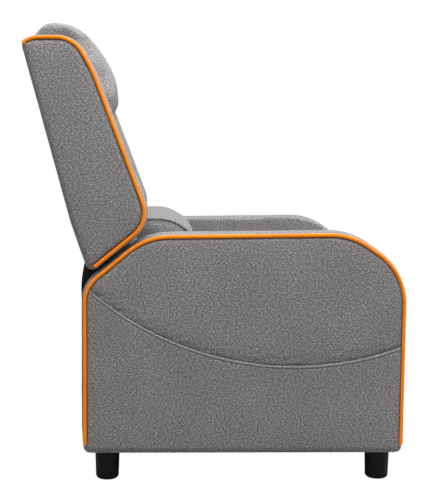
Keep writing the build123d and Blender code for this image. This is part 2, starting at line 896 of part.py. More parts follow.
def make_head_section():
    sections = []
    for width_share, crown_share, draw_share in cushion_stations_shares:
        front = front_points(head_edge_shares, head_middle_shares, crown_share, head_bottom_s, back_height)
        corners = [back_point(s, d) for s, d in reversed(front)]
        rear = back_point(head_bottom_s, head_rear_depth)
        sections.append((core_half_width * width_share, [rear] + corners, [0] + list(reversed(head_radii))))
    body = loft_across(sections)
    frame_space = rectangle_sd(0, upright_top_s + fabric_gap, -overrun * 2, cushion_back_d)
    shell_space = rectangle_sd(0, shell_top_s + fabric_gap, -overrun * 2, frame_back_d)
    for space in (frame_space, shell_space):
        body -= back_slab(space, [0, 0, 0, 0], -half_seat, half_seat)
    return body


def make_lumbar_roll():
    """A plump roll lying on the seat against the back, fuller in the middle than at its ends."""
    crest_y = base_front + cushion_front_setback
    crest_y += (cushion_rear - crest_y) * cushion_crest_share
    front_y = roll_rear - roll_middle_depth * roll_front_share
    slope_share = (cushion_rear - front_y) / (cushion_rear - crest_y)
    floor_z = cushion_top + cushion_crown * slope_share + roll_lift
    sections = []
    for width_share, full_share, end_share in roll_stations_shares:
        depth = roll_end_depth + (roll_middle_depth - roll_end_depth) * full_share
        height = roll_end_height + (roll_middle_height - roll_end_height) * full_share
        centre_y = roll_rear - depth
        centre_z = floor_z + height
        depth *= end_share
        height *= end_share
        corners = [(centre_y + depth * y, centre_z + height * z) for y, z, bend in roll_corner_shares]
        radii = [min(depth, height) * bend for y, z, bend in roll_corner_shares]
        sections.append((roll_half_length * width_share, corners, radii))
    return loft_across(sections)


# Footrest

def make_footrest_board():
    half = footrest_half_width - footrest_board_inset
    board = box_between(
        (-half, footrest_board_front, footrest_bottom + footrest_board_inset),
        (half, footrest_back, footrest_top - footrest_board_inset),
    )
    for side in (1, -1):
        for place in bracket_screw_places(side):
            board -= screw_shape(place, screw_radius + wood_gap, footrest_back + overrun)
    return board


def make_footrest_pad():
    """A crowned pad over the front of the board, with its sides drawn in."""
    sections = []
    for width_share, crown_share, draw_share in cushion_stations_shares:
        draw = cushion_draw_in * draw_share
        front = footrest_front + footrest_crown * (1 - crown_share)
        rear = footrest_board_front - wood_gap
        corners = [
            (front, footrest_bottom + draw), (rear, footrest_bottom + draw),
            (rear, footrest_top - draw), (front, footrest_top - draw),
        ]
        radii = [footrest_edge_radius, 0, 0, footrest_edge_radius]
        sections.append((footrest_half_width * width_share, corners, radii))
    return loft_across(sections)


def flange_range():
    return lower_pin[1] - flange_margin, lift_pin[1] + flange_margin


def bracket_screw_places(side):
    low, high = flange_range()
    x = layer(3)[0] - flange_width / 2
    margin = flange_margin
    return [(side * x, z) for z in (low + margin, (low + high) / 2, high - margin)]


def screw_shape(place, radius, start_y):
    end_y = footrest_back - screw_length
    length = start_y - end_y
    return Pos(place[0], (start_y + end_y) / 2, place[1]) * Cylinder(radius, length, rotation=(90, 0, 0))


def make_bracket_screws():
    screws = []
    for side in (1, -1):
        for place in bracket_screw_places(side):
            head_y = footrest_back + wood_gap + plate_thickness
            shank = screw_shape(place, screw_radius, head_y)
            head = Pos(place[0], head_y + screw_head_height / 2, place[1]) * Cylinder(
                screw_head_radius, screw_head_height, rotation=(90, 0, 0)
            )
            screws.append(shank + head)
    return screws


def make_footrest_bracket():
    """An angle plate: a flange on the board and an upright web that carries both pins."""
    inner, outer = layer(3)
    low, high = flange_range()
    flange_face = footrest_back + wood_gap
    web_corners = [
        (flange_face, low), (flange_face + flange_margin, lower_pin[1] - bar_width / 2),
        (flange_face + bracket_depth + bar_width / 2, lower_pin[1]),
        (flange_face + bracket_depth + bar_width / 2, lift_pin[1]),
        (flange_face + flange_margin, lift_pin[1] + bar_width / 2), (flange_face, high),
    ]
    web_radii = [0, bar_width / 3, bar_width / 3, bar_width / 3, bar_width / 3, 0]
    web = side_slab(outline_face(web_corners, web_radii), inner, outer)
    flange = box_between((inner - flange_width, flange_face, low), (outer, flange_face + plate_thickness, high))
    bracket = web + flange
    for pin in (lift_pin, lower_pin):
        bracket -= cross_pin(pin, pin_radius, inner - overrun, outer + overrun)
    for place in bracket_screw_places(1):
        bracket -= screw_shape(place, screw_radius + wood_gap, footrest_back + flange_margin)
    return bracket


# Footrest linkage

def bar_with_holes(pins, number, hole_radii):
    """A flat bar with round ends through its pins, drilled at each."""
    inner, outer = layer(number)
    bar = None
    for start, end in zip(pins, pins[1:]):
        piece = capsule(start, end, bar_width / 2, inner, outer)
        bar = piece if bar is None else bar + piece
    for pin, radius in zip(pins, hole_radii):
        bar -= cross_pin(pin, radius, inner - overrun, outer + overrun)
    return bar


def make_drive_link():
    """The bar that swings the footrest out: crank, toe and the short lever for the drive rod."""
    inner, outer = layer(1)
    link = bar_with_holes(
        [drive_pivot, crank_pin, toe_pin], 1,
        [drive_pin_radius + pin_clearance, pin_radius + pin_clearance, pin_radius + pin_clearance],
    )
    lever = capsule(drive_pivot, rod_pin, bar_width / 2, inner, outer)
    lever -= cross_pin(drive_pivot, drive_pin_radius + pin_clearance, inner - overrun, outer + overrun)
    link += lever
    return link - cross_pin(rod_pin, pin_radius, inner - overrun, outer + overrun)


def make_rear_link():
    hole = pin_radius + pin_clearance
    return bar_with_holes([rear_pivot, rear_pin], 1, [hole, hole])


def make_lift_link():
    hole = pin_radius
    return bar_with_holes([rear_pin, crank_pin, lift_pin], 2, [hole, hole, pin_radius + pin_clearance])


def make_front_link():
    return bar_with_holes([toe_pin, lower_pin], 2, [pin_radius, pin_radius + pin_clearance])


def make_rod():
    inner, outer = layer(3)
    rod = capsule(rod_eye, lug_pin, rod_width / 2, inner, outer)
    rod += cross_pin(rod_eye, rod_eye_radius, inner, outer)
    rod += cross_pin(lug_pin, rod_eye_radius, inner, outer)
    eye_bore = pin_radius + rod_eye_play + loose_clearance
    rod -= cross_pin(rod_eye, eye_bore, inner - overrun, outer + overrun)
    return rod - cross_pin(lug_pin, pin_radius + pin_clearance, inner - overrun, outer + overrun)


def rivet(place, first_layer, last_layer, radius=pin_radius):
    """A pin through mechanism layers with a flat head on each end."""
    outer = layer(first_layer)[1]
    inner = layer(last_layer)[0]
    shank = cross_pin(place, radius, inner, outer)
    head_out = cross_pin(place, radius * 2, outer, outer + rivet_head_height)
    head_in = cross_pin(place, radius * 2, inner - rivet_head_height, inner)
    return shank + head_out + head_in


def make_plate():
    """The pressed side plate: low at the front for the links, rising at the rear to the back's pivot."""
    inner, outer = layer(0)
    eye = back_eye_radius
    corners = [
        (plate_front, plate_top), (plate_front, drive_pivot[1] - eye),
        (rear_pivot[0] - eye, rear_pivot[1] - eye), (rear_pivot[0] + eye * 2, rear_pivot[1] - eye),
        (plate_rise, plate_bottom), (back_pivot[0] + eye, back_pivot[1] - eye * 2),
        (back_pivot[0] + eye, back_pivot[1] + eye), (back_pivot[0] - eye, back_pivot[1] + eye),
        (plate_rise, plate_top),
    ]
    radii = [eye / 2, eye / 2, eye / 2, eye, eye, eye, eye * plate_corner_share, eye * plate_corner_share, eye]
    plate = side_slab(outline_face(corners, radii), inner, outer)
    plate -= cross_pin(drive_pivot, drive_pin_radius, inner - overrun, outer + overrun)
    plate -= cross_pin(back_pivot, drive_pin_radius, inner - overrun, outer + overrun)
    plate -= cross_pin(rear_pivot, pin_radius, inner - overrun, outer + overrun)
    for place in plate_bolt_places():
        plate -= cross_pin(place, bolt_radius + wood_gap, inner - overrun, outer + overrun)
    return plate


def make_plate_pivots():
    """Fixed pivots of one side: the drive tube's axle, the rear link's pin and the back's pin."""
    outer = layer(0)[1]
    axle = cross_pin(drive_pivot, drive_pin_radius, layer(3)[0] - bar_width, outer)
    axle += cross_pin(drive_pivot, rivet_head_radius, outer, outer + rivet_head_height)
    return [axle, rivet(rear_pivot, 0, 1), rivet(back_pivot, 0, 1, drive_pin_radius)]


def make_drive_tube():
    """The torsion tube welded between the two drive links."""
    end = layer(1)[0]
    tube = cross_pin(drive_pivot, tube_radius, -end, end)
    tube -= cross_pin(drive_pivot, tube_radius - tube_wall, -end + layer_pitch * 2, end - layer_pitch * 2)
    return tube - cross_pin(drive_pivot, drive_pin_radius + pin_clearance, -end - overrun, end + overrun)


os.makedirs("parts", exist_ok=True)

# Base
save_pair("arm_pad", make_arm_pad())
save_pair("arm_frame", make_arm_frame())
save_pair("side_panel_upper", make_upper_panel())
save_pair("side_panel_lower", make_lower_panel())
save_pair("arm_piping", make_arm_piping())
foot = make_foot()
for end_name, end_y in foot_places.items():
    save(f"foot_{end_name}_left", Pos(arm_middle, end_y, 0) * foot)
    save(f"foot_{end_name}_right", Pos(-arm_middle, end_y, 0) * foot)
foot_bolts = [foot_bolt(y) for y in foot_places.values()]
save("foot_bolts", *foot_bolts, *[mirrored(bolt) for bolt in foot_bolts])
save("seat_frame", make_seat_frame())
save("seat_springs", *[make_spring(x) for x in spring_rows()])
clip_front = seat_frame_front + seat_rail_width - clip_length / 2
clip_rear = seat_frame_rear - seat_rail_width + clip_length / 2
save(
    "spring_clips",
    *[make_clip(x, clip_front, -1) for x in spring_rows()],
    *[make_clip(x, clip_rear, 1) for x in spring_rows()],
)
save("seat_cushion", make_seat_cushion())
save("rear_rail", make_rear_rail())
save("base_stretcher", make_stretcher())
save("rear_panel", make_rear_panel())
save("rear_gap_cloth", make_gap_cloth())
side_bolts = bolts_for_side()
save("frame_bolts", *side_bolts, *[mirrored(bolt) for bolt in side_bolts])
save_pair("mechanism_plate", make_plate())
pivots = make_plate_pivots()
save("plate_pivots", *pivots, *[mirrored(pivot) for pivot in pivots])

# Back
save_pair("back_wing", make_wing())
save_pair("back_piping", make_wing_piping())
save("back_shell", make_back_shell())
save("back_frame", bored_back_frame())
save("back_cushion", make_back_cushion())
save("head_section", make_head_section())
save("lumbar_roll", make_lumbar_roll())
save_pair("back_bracket", make_back_bracket())
bracket_bolts = make_bracket_bolts()
save("back_bracket_bolts", *bracket_bolts, *[mirrored(bolt) for bolt in bracket_bolts])
lug = rivet(lug_pin, 1, 3)
save("drive_rod_rivets", lug, mirrored(lug))
save_pair("drive_rod", make_rod())

# Footrest linkage
save_pair("drive_link", make_drive_link())
save("drive_tube", make_drive_tube())
save_pair("rear_link", make_rear_link())
save_pair("lift_link", make_lift_link())
save_pair("front_link", make_front_link())
link_rivets = [rivet(rod_pin, 1, 3)]
save("drive_link_rivets", *link_rivets, *[mirrored(one) for one in link_rivets])
lift_rivets = [rivet(rear_pin, 1, 2), rivet(crank_pin, 1, 2)]
save("lift_link_rivets", *lift_rivets, *[mirrored(one) for one in lift_rivets])
toe_rivets = [rivet(toe_pin, 1, 2)]
save("front_link_rivets", *toe_rivets, *[mirrored(one) for one in toe_rivets])

# Footrest
save("footrest_board", make_footrest_board())
save("footrest_pad", make_footrest_pad())
save_pair("footrest_bracket", make_footrest_bracket())
save("bracket_screws", *make_bracket_screws())
footrest_rivets = [rivet(lift_pin, 2, 3), rivet(lower_pin, 2, 3)]
save("footrest_rivets", *footrest_rivets, *[mirrored(one) for one in footrest_rivets])
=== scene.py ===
import json
from math import acos, atan2, cos, exp, hypot, pi, radians, sin, sqrt, tan

import bmesh
import bpy
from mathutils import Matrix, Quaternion, Vector, noise
from mathutils.kdtree import KDTree


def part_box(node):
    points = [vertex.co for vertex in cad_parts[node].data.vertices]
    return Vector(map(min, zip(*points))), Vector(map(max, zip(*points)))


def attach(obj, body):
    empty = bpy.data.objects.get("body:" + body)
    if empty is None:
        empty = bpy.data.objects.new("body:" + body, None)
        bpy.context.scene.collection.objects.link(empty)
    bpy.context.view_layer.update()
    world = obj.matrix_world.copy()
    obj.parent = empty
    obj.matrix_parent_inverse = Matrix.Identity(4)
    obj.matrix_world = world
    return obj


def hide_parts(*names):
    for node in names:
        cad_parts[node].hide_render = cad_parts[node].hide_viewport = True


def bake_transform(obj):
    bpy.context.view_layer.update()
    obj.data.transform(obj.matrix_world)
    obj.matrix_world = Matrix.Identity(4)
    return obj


# Push-back reclining armchair: finishes, padding, sewn details, lights and camera, in metres.

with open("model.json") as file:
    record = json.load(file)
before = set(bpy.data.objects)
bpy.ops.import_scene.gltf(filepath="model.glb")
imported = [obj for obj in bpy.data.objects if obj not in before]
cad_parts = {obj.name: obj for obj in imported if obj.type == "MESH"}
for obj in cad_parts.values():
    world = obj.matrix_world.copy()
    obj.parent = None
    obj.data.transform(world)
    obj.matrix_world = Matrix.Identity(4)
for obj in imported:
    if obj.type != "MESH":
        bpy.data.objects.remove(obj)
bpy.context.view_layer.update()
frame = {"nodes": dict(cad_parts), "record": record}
cad = frame["nodes"]
scene = bpy.context.scene
mm = 0.001
sides = {"left": 1, "right": -1}

# Camera: beside the chair, square to its right side, a little above the arm
camera_place = (-2.507, 0.1552, 0.6987)
camera_yaw = radians(1.748)
camera_pitch = radians(5.196)
camera_roll = radians(0.372)
camera_lens = 75.2
camera_shift = 0.0774
camera_far = 50


def add_camera():
    data = bpy.data.cameras.new("camera")
    data.lens = camera_lens
    data.shift_x = camera_shift
    data.clip_end = camera_far
    camera = bpy.data.objects.new("camera", data)
    scene.collection.objects.link(camera)
    forward = Vector((
        cos(camera_pitch) * cos(camera_yaw),
        -cos(camera_pitch) * sin(camera_yaw),
        -sin(camera_pitch),
    ))
    turn = forward.to_track_quat("-Z", "Y") @ Quaternion((0, 0, 1), camera_roll)
    camera.location = camera_place
    camera.rotation_euler = turn.to_euler()
    scene.camera = camera


# Sizes read from the construction
base_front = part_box("arm_pad_right")[0].y
base_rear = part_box("arm_pad_right")[1].y
base_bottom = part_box("arm_pad_right")[0].z
arm_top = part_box("arm_pad_right")[1].z
arm_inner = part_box("arm_pad_left")[0].x
pad_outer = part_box("arm_pad_left")[1].x
panel_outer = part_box("side_panel_upper_left")[1].x
wing_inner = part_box("back_wing_left")[0].x

# Side outline of an arm, the same as the construction's
rear_shoulder_drop = 115.5 * mm
rear_shoulder_run = 131 * mm
rear_top_drop = 6.5 * mm
front_shoulder_drop = 80.5 * mm
front_shoulder_run = 121 * mm
arm_bottom_radius = 16 * mm
rear_shoulder_radius = 72 * mm
rear_top_radius = 142 * mm
front_top_radius = 140 * mm
front_shoulder_radius = 135 * mm

arm_corners = [
    (base_front, base_bottom),
    (base_rear, base_bottom),
    (base_rear, arm_top - rear_shoulder_drop),
    (base_rear - rear_shoulder_run, arm_top - rear_top_drop),
    (base_front + front_shoulder_run, arm_top),
    (base_front, arm_top - front_shoulder_drop),
]
arm_radii = [
    arm_bottom_radius, arm_bottom_radius, rear_shoulder_radius,
    rear_top_radius, front_top_radius, front_shoulder_radius,
]
panel_inset = 9.2 * mm

# Arc seam across the side panels
seam_radius = 665 * mm
seam_setback = 238.5 * mm
seam_rise = 192 * mm
seam_centre = (base_front + seam_setback, base_bottom + seam_rise + seam_radius)

# Side outline of the back, the same as the construction's
back_lean = radians(15.25)
back_top = 943 * mm
back_origin_z = 447.5 * mm
back_foot_setback = 5.8 * mm
back_origin_y = base_rear - back_foot_setback
back_height = (back_top - back_origin_z) / cos(back_lean)
back_depth = 164 * mm
wing_foot_drop = 0.5 * mm
wing_foot_depth = 7.7 * mm
wing_rear_bend_rise = 112 * mm
back_rear_corner_drop = 12 * mm
back_top_bend_run = 24 * mm
back_top_bend_drop = 1 * mm
wing_brow_drop = 29.4 * mm
wing_brow_depth = 109.5 * mm
wing_kink_share = 0.7836
wing_kink_depth = 130.6 * mm
wing_nose_rise = 70 * mm
wing_bottom_radius = 12 * mm
wing_bend_radius = 300 * mm
back_rear_corner_radius = 9 * mm
back_top_bend_radius = 45 * mm
wing_top_radius = 66 * mm
wing_kink_radius = 250 * mm
wing_nose_radius = 64.5 * mm


def back_point(s, d):
    """A side place from its distance up the back and its depth forward of the rear line."""
    return (
        back_origin_y + s * sin(back_lean) - d * cos(back_lean),
        back_origin_z + s * cos(back_lean) + d * sin(back_lean),
    )


wing_rear_corner = back_point(back_height - back_rear_corner_drop, 0)
wing_corners = [
    back_point(-wing_foot_drop, wing_foot_depth),
    back_point(wing_rear_bend_rise, 0),
    wing_rear_corner,
    (wing_rear_corner[0] - back_top_bend_run, back_top - back_top_bend_drop),
    back_point(back_height - wing_brow_drop, wing_brow_depth),
    back_point(back_height * wing_kink_share, wing_kink_depth),
    back_point(wing_nose_rise, back_depth),
]
wing_radii = [
    wing_bottom_radius, wing_bend_radius, back_rear_corner_radius, back_top_bend_radius,
    wing_top_radius, wing_kink_radius, wing_nose_radius,
]


# Outlines and mesh helpers
arc_step = 4 * mm
least_arc_steps = 4
line_step = 2 * mm
smooth_factor = 0.5


def corner_arcs(corners, radii, step=arc_step):
    """The arc of points at each corner of a closed outline."""
    arcs = []
    count = len(corners)
    for i in range(count):
        here = Vector(corners[i])
        to_last = (Vector(corners[i - 1]) - here).normalized()
        to_next = (Vector(corners[(i + 1) % count]) - here).normalized()
        angle = acos(max(-1, min(1, to_last.dot(to_next))))
        reach = radii[i] / tan(angle / 2)
        centre = here + (to_last + to_next).normalized() * (radii[i] / sin(angle / 2))
        start = here + to_last * reach - centre
        end = here + to_next * reach - centre
        first = atan2(start.y, start.x)
        turn = (atan2(end.y, end.x) - first + pi) % (2 * pi) - pi
        steps = max(least_arc_steps, int(abs(turn) * radii[i] / step))
        turns = [first + turn * k / steps for k in range(steps + 1)]
        arcs.append([(centre.x + radii[i] * cos(at), centre.y + radii[i] * sin(at)) for at in turns])
    return arcs


def rounded(corners, radii):
    """Points round an outline whose corners are arcs."""
    return [point for arc in corner_arcs(corners, radii) for point in arc]


def inset(corners, distance):
    """The corners of an anticlockwise outline moved inwards."""
    moved = []
    count = len(corners)
    for i in range(count):
        before, here, after = corners[i - 1], corners[i], corners[(i + 1) % count]
        lines = []
        for a, b in ((before, here), (here, after)):
            run, rise = b[0] - a[0], b[1] - a[1]
            size = hypot(run, rise)
            lines.append((a[0] - rise / size * distance, a[1] + run / size * distance, run, rise))
        (ay, az, ar, ae), (by, bz, br, be) = lines
        share = ((by - ay) * be - (bz - az) * br) / (ar * be - ae * br)
        moved.append((ay + ar * share, az + ae * share))
    return moved


def dense(points, step=line_step):
    """A closed line's points with none further apart than a step."""
    out = []
    for i, point in enumerate(points):
        last = Vector(points[i - 1])
        here = Vector(point)
        count = max(1, int((here - last).length / step))
        out += [tuple(last.lerp(here, k / count)) for k in range(count)]
    return out


def rim_finder(points):
    """A search tree over an outline, for the distance of a side place from it."""
    close = dense(points)
    tree = KDTree(len(close))
    for i, (y, z) in enumerate(close):
        tree.insert((0, y, z), i)
    tree.balance()
    return tree


def new_object(name, mesh):
    obj = bpy.data.objects.new(name, mesh)
    scene.collection.objects.link(obj)
    return obj


def smooth_shade(obj):
    for polygon in obj.data.polygons:
        polygon.use_smooth = True
    return obj


def slab(name, points, x_start, x_end):
    """A closed slab of a side outline between two places across the chair."""
    made = bmesh.new()
    near = [made.verts.new((x_start, y, z)) for y, z in points]
    far = [made.verts.new((x_end, y, z)) for y, z in points]
    made.faces.new(near)
    made.faces.new(list(reversed(far)))
    for i in range(len(points)):
        made.faces.new((near[i], near[i - 1], far[i - 1], far[i]))
    bmesh.ops.recalc_face_normals(made, faces=made.faces)
    mesh = bpy.data.meshes.new(name)
    made.to_mesh(mesh)
    made.free()
    return new_object(name, mesh)


def apply_modifiers(obj):
    graph = bpy.context.evaluated_depsgraph_get()
    mesh = bpy.data.meshes.new_from_object(obj.evaluated_get(graph))
    obj.modifiers.clear()
    obj.data = mesh
    return obj


def remesh(obj, voxel, smoothing):
    """Even small faces all over, with edges rounded a little."""
    change = obj.modifiers.new("remesh", "REMESH")
    change.mode = "VOXEL"
    change.voxel_size = voxel
    apply_modifiers(obj)
    return soften(obj, smoothing)


def subdivide(obj):
    change = obj.modifiers.new("subdivision", "SUBSURF")
    change.levels = 1
    change.render_levels = 1
    return apply_modifiers(obj)


def copy_node(node, name):
    return new_object(name, cad[node].data.copy())


def move_points(obj, rule):
    """Every point moved by what a rule gives for its place and normal."""
    mesh = obj.data
    changes = [rule(vertex.co.copy(), vertex.normal.copy()) for vertex in mesh.vertices]
    for vertex, change in zip(mesh.vertices, changes):
        vertex.co += change
    mesh.update()
    return obj


def ripple(place, size, seed=0):
    """Smooth noise from -1 to 1 with features of about a size."""
    return noise.noise(place / size + Vector((seed, seed, seed)))


def soften(obj, rounds):
    """Evens out a surface, more with each round."""
    change = obj.modifiers.new("smooth", "SMOOTH")
    change.factor = smooth_factor
    change.iterations = rounds
    return apply_modifiers(obj)


def join(piece, other):
    """Adds another object's faces to a piece."""
    made = bmesh.new()
    made.from_mesh(piece.data)
    made.from_mesh(other.data)
    made.to_mesh(piece.data)
    made.free()
    bpy.data.objects.remove(other)


# Simulated padding
cloth_values = {
    "quality": 4,
    "mass": 0.3,
    "tension_stiffness": 12,
    "compression_stiffness": 12,
    "bending_stiffness": 2,
    "use_pressure": True,
    "uniform_pressure_force": 4.0,
}
swelling_frames = 20


def swell_together(pieces):
    """Blows up pieces by cloth simulation, none of their points further than the piece's cap."""
    starts = {}
    for obj, cap in pieces:
        starts[obj.name] = [vertex.co.copy() for vertex in obj.data.vertices]
        cloth = obj.modifiers.new("cloth", "CLOTH")
        for name, value in cloth_values.items():
            setattr(cloth.settings, name, value)
        cloth.settings.effector_weights.gravity = 0
        cloth.point_cache.frame_start = 1
        cloth.point_cache.frame_end = swelling_frames
    for number in range(swelling_frames):
        scene.frame_set(number + 1)
    for obj, cap in pieces:
        apply_modifiers(obj)
        for vertex, start in zip(obj.data.vertices, starts[obj.name]):
            move = vertex.co - start
            if move.length > cap:
                vertex.co = start + move * (cap / move.length)
        obj.data.update()
    scene.frame_set(1)


# Materials
srgb_top = 255
srgb_knee = 0.04045
srgb_slope = 12.92
srgb_offset = 0.055
srgb_power = 2.4


def srgb(red, green, blue):
    """A linear colour from the 0 to 255 values that it shows as."""
    out = []
    for value in (red, green, blue):
        share = value / srgb_top
        if share <= srgb_knee:
            out.append(share / srgb_slope)
        else:
            out.append(((share + srgb_offset) / (1 + srgb_offset)) ** srgb_power)
    return (*out, 1)


def grey(value):
    return (value, value, value, 1)


ramp_middle = 0.5
noise_middle = 0.5


class Shader:
    """A material's node tree with short calls to add to it."""

    def __init__(self, name):
        self.material = bpy.data.materials.new(name)
        self.material.use_nodes = True
        self.tree = self.material.node_tree
        self.bsdf = self.tree.nodes["Principled BSDF"]

    def add(self, kind, **values):
        node = self.tree.nodes.new(kind)
        for key, value in values.items():
            setattr(node, key, value)
        return node

    def link(self, source, target):
        self.tree.links.new(source, target)

    def math(self, operation, first, second=None):
        node = self.add("ShaderNodeMath", operation=operation)
        for socket, value in zip(node.inputs, (first, second)):
            if isinstance(value, bpy.types.NodeSocket):
                self.link(value, socket)
            elif value is not None:
                socket.default_value = value
        return node.outputs[0]

    def shaded(self, colour, shade):
        """One colour multiplied by another."""
        node = self.add("ShaderNodeMix", data_type="RGBA", blend_type="MULTIPLY")
        node.inputs["Factor"].default_value = 1.0
        first, second = [socket for socket in node.inputs if socket.type == "RGBA"]
        self.link(colour, first)
        self.link(shade, second)
        return next(socket for socket in node.outputs if socket.type == "RGBA")

    def noise(self, vector, scale, texture):
        """Noise with a texture's detail, roughness and distortion."""
        node = self.add("ShaderNodeTexNoise")
        detail, roughness, distortion = texture
        node.inputs["Scale"].default_value = scale
        node.inputs["Detail"].default_value = detail
        node.inputs["Roughness"].default_value = roughness
        node.inputs["Distortion"].default_value = distortion
        self.link(vector, node.inputs["Vector"])
        return node.outputs["Fac"]

    def stretched(self, vector, scale):
        node = self.add("ShaderNodeMapping")
        node.inputs["Scale"].default_value = scale
        self.link(vector, node.inputs["Vector"])
        return node.outputs[0]

    def ramp(self, factor, stops):
        node = self.add("ShaderNodeValToRGB")
        ramp = node.color_ramp
        while len(ramp.elements) < len(stops):
            ramp.elements.new(ramp_middle)
        for element, (position, colour) in zip(ramp.elements, stops):
            element.position = position
            element.color = colour
        self.link(factor, node.inputs[0])
        return node.outputs[0]

    def surface(self, colour, height, relief, values):
        """Sets the surface's colour, relief by strength and depth, and plain values."""
        node = self.add("ShaderNodeBump")
        strength, depth = relief
        node.inputs["Strength"].default_value = strength
        node.inputs["Distance"].default_value = depth
        self.link(height, node.inputs["Height"])
        self.link(node.outputs[0], self.bsdf.inputs["Normal"])
        self.link(colour, self.bsdf.inputs["Base Color"])
        for name, value in values.items():
            self.bsdf.inputs[name].default_value = value
        return self.material

    def object_place(self):
        return self.add("ShaderNodeTexCoord").outputs["Object"]

    def cloth_place(self):
        """Coordinates in metres across a cloth surface, by the way that it mostly faces."""
        source = self.add("ShaderNodeTexCoord")
        place = self.add("ShaderNodeSeparateXYZ")
        self.link(source.outputs["Object"], place.inputs[0])
        facing = self.add("ShaderNodeSeparateXYZ")
        self.link(source.outputs["Normal"], facing.inputs[0])
        x, y, z = place.outputs
        across, along, up = [self.math("ABSOLUTE", output) for output in facing.outputs]
        side = self.math(
            "MULTIPLY", self.math("GREATER_THAN", across, along), self.math("GREATER_THAN", across, up)
        )
        flat = self.math("GREATER_THAN", up, along)
        u = self.chosen(side, y, x)
        v = self.chosen(side, z, self.chosen(flat, y, z))
        joined = self.add("ShaderNodeCombineXYZ")
        self.link(u, joined.inputs[0])
        self.link(v, joined.inputs[1])
        return joined.outputs[0], u, v

    def chosen(self, factor, yes, no):
        """One of two numbers, by a factor of 1 or 0."""
        rest = self.math("SUBTRACT", 1.0, factor)
        return self.math("ADD", self.math("MULTIPLY", factor, yes), self.math("MULTIPLY", rest, no))


# Heathered cloth
thread_pitch = 1.9 * mm
yarn_along_scale = 230
yarn_across_scale = 640
fleck_along_scale = 240
fleck_across_scale = 460
fleck_share = 0.7
yarn_texture = (3.0, 0.7, 0.0)
yarn_stops = (0.27, 0.5, 0.75)
patch_scale = 9.0
patch_texture = (2.0, 0.5, 0.0)
patch_stops = [(0.3, grey(0.94)), (0.7, grey(1.04))]
weave_relief_share = 0.4
weave_relief = (0.25, 0.3 * mm)
cloth_surface = {
    "Roughness": 0.95,
    "Specular IOR Level": 0.15,
    "Sheen Weight": 0.15,
    "Sheen Roughness": 0.4,
}


def heather_cloth(name, tones):
    """Plain-woven cloth of mixed grey yarns with short slubs."""
    shader = Shader(name)
    place, u, v = shader.cloth_place()
    warp_place = shader.stretched(place, (yarn_across_scale, yarn_along_scale, 1))
    weft_place = shader.stretched(place, (yarn_along_scale, yarn_across_scale, 1))
    warp = shader.noise(warp_place, 1.0, yarn_texture)
    weft = shader.noise(weft_place, 1.0, yarn_texture)
    wave_u = shader.math("SINE", shader.math("MULTIPLY", u, 2 * pi / thread_pitch))
    wave_v = shader.math("SINE", shader.math("MULTIPLY", v, 2 * pi / thread_pitch))
    weave = shader.math("MULTIPLY", wave_u, wave_v)
    yarn = shader.chosen(shader.math("GREATER_THAN", weave, 0.0), warp, weft)
    fleck_place = shader.stretched(place, (fleck_along_scale, fleck_across_scale, 1))
    fleck = shader.math("SUBTRACT", shader.noise(fleck_place, 1.0, yarn_texture), noise_middle)
    fleck = shader.math("MULTIPLY", fleck, fleck_share)
    yarn = shader.math("ADD", yarn, fleck)
    colour = shader.ramp(yarn, list(zip(yarn_stops, tones)))
    patches = shader.ramp(shader.noise(shader.object_place(), patch_scale, patch_texture), patch_stops)
    height = shader.math("ADD", shader.math("MULTIPLY", weave, weave_relief_share), yarn)
    return shader.surface(shader.shaded(colour, patches), height, weave_relief, cloth_surface)


# Piping, lining and plastic
cord_fine_scale = 700.0
cord_wide_scale = 30.0
cord_fine_texture = (2.0, 0.6, 0.0)
cord_wide_texture = (2.0, 0.5, 0.0)
cord_fine_share = 0.6
cord_stops = [(0.3, srgb(240, 120, 8)), (0.52, srgb(250, 137, 18)), (0.72, srgb(254, 150, 30))]
cord_relief = (0.3, 0.25 * mm)
cord_surface = {"Roughness": 0.75, "Specular IOR Level": 0.15}


def piping_cloth():
    """Bright cord cover with a fine weave."""
    shader = Shader("orange_piping")
    place = shader.cloth_place()[0]
    fine = shader.noise(place, cord_fine_scale, cord_fine_texture)
    wide = shader.noise(place, cord_wide_scale, cord_wide_texture)
    fine_part = shader.math("MULTIPLY", fine, cord_fine_share)
    wide_part = shader.math("MULTIPLY", wide, 1 - cord_fine_share)
    blend = shader.math("ADD", fine_part, wide_part)
    return shader.surface(shader.ramp(blend, cord_stops), fine, cord_relief, cord_surface)


lining_rib_pitch = 1.2 * mm
lining_fuzz_scale = 420.0
lining_texture = (2.0, 0.6, 0.0)
lining_stops = [(0.35, srgb(14, 14, 16)), (0.65, srgb(36, 36, 40))]
lining_relief = (0.3, 0.2 * mm)
lining_surface = {"Roughness": 0.8, "Specular IOR Level": 0.2}


def lining_cloth():
    """Thin black cloth with a fine ribbed weave."""
    shader = Shader("black_lining")
    place, u = shader.cloth_place()[:2]
    ribs = shader.math("SINE", shader.math("MULTIPLY", u, 2 * pi / lining_rib_pitch))
    fuzz = shader.noise(place, lining_fuzz_scale, lining_texture)
    height = shader.math("ADD", ribs, fuzz)
    return shader.surface(shader.ramp(fuzz, lining_stops), height, lining_relief, lining_surface)


plastic_grain_scale = 900.0
plastic_grain_texture = (2.0, 0.6, 0.0)
plastic_scuff_scales = (40, 40, 12)
plastic_scuff_texture = (3.0, 0.6, 0.0)
plastic_stops = [(0.4, srgb(5, 5, 6)), (0.75, srgb(10, 10, 12))]
plastic_gloss_stops = [(0.3, grey(0.42)), (0.7, grey(0.56))]
plastic_relief = (0.15, 0.1 * mm)
plastic_surface = {"Specular IOR Level": 0.2}


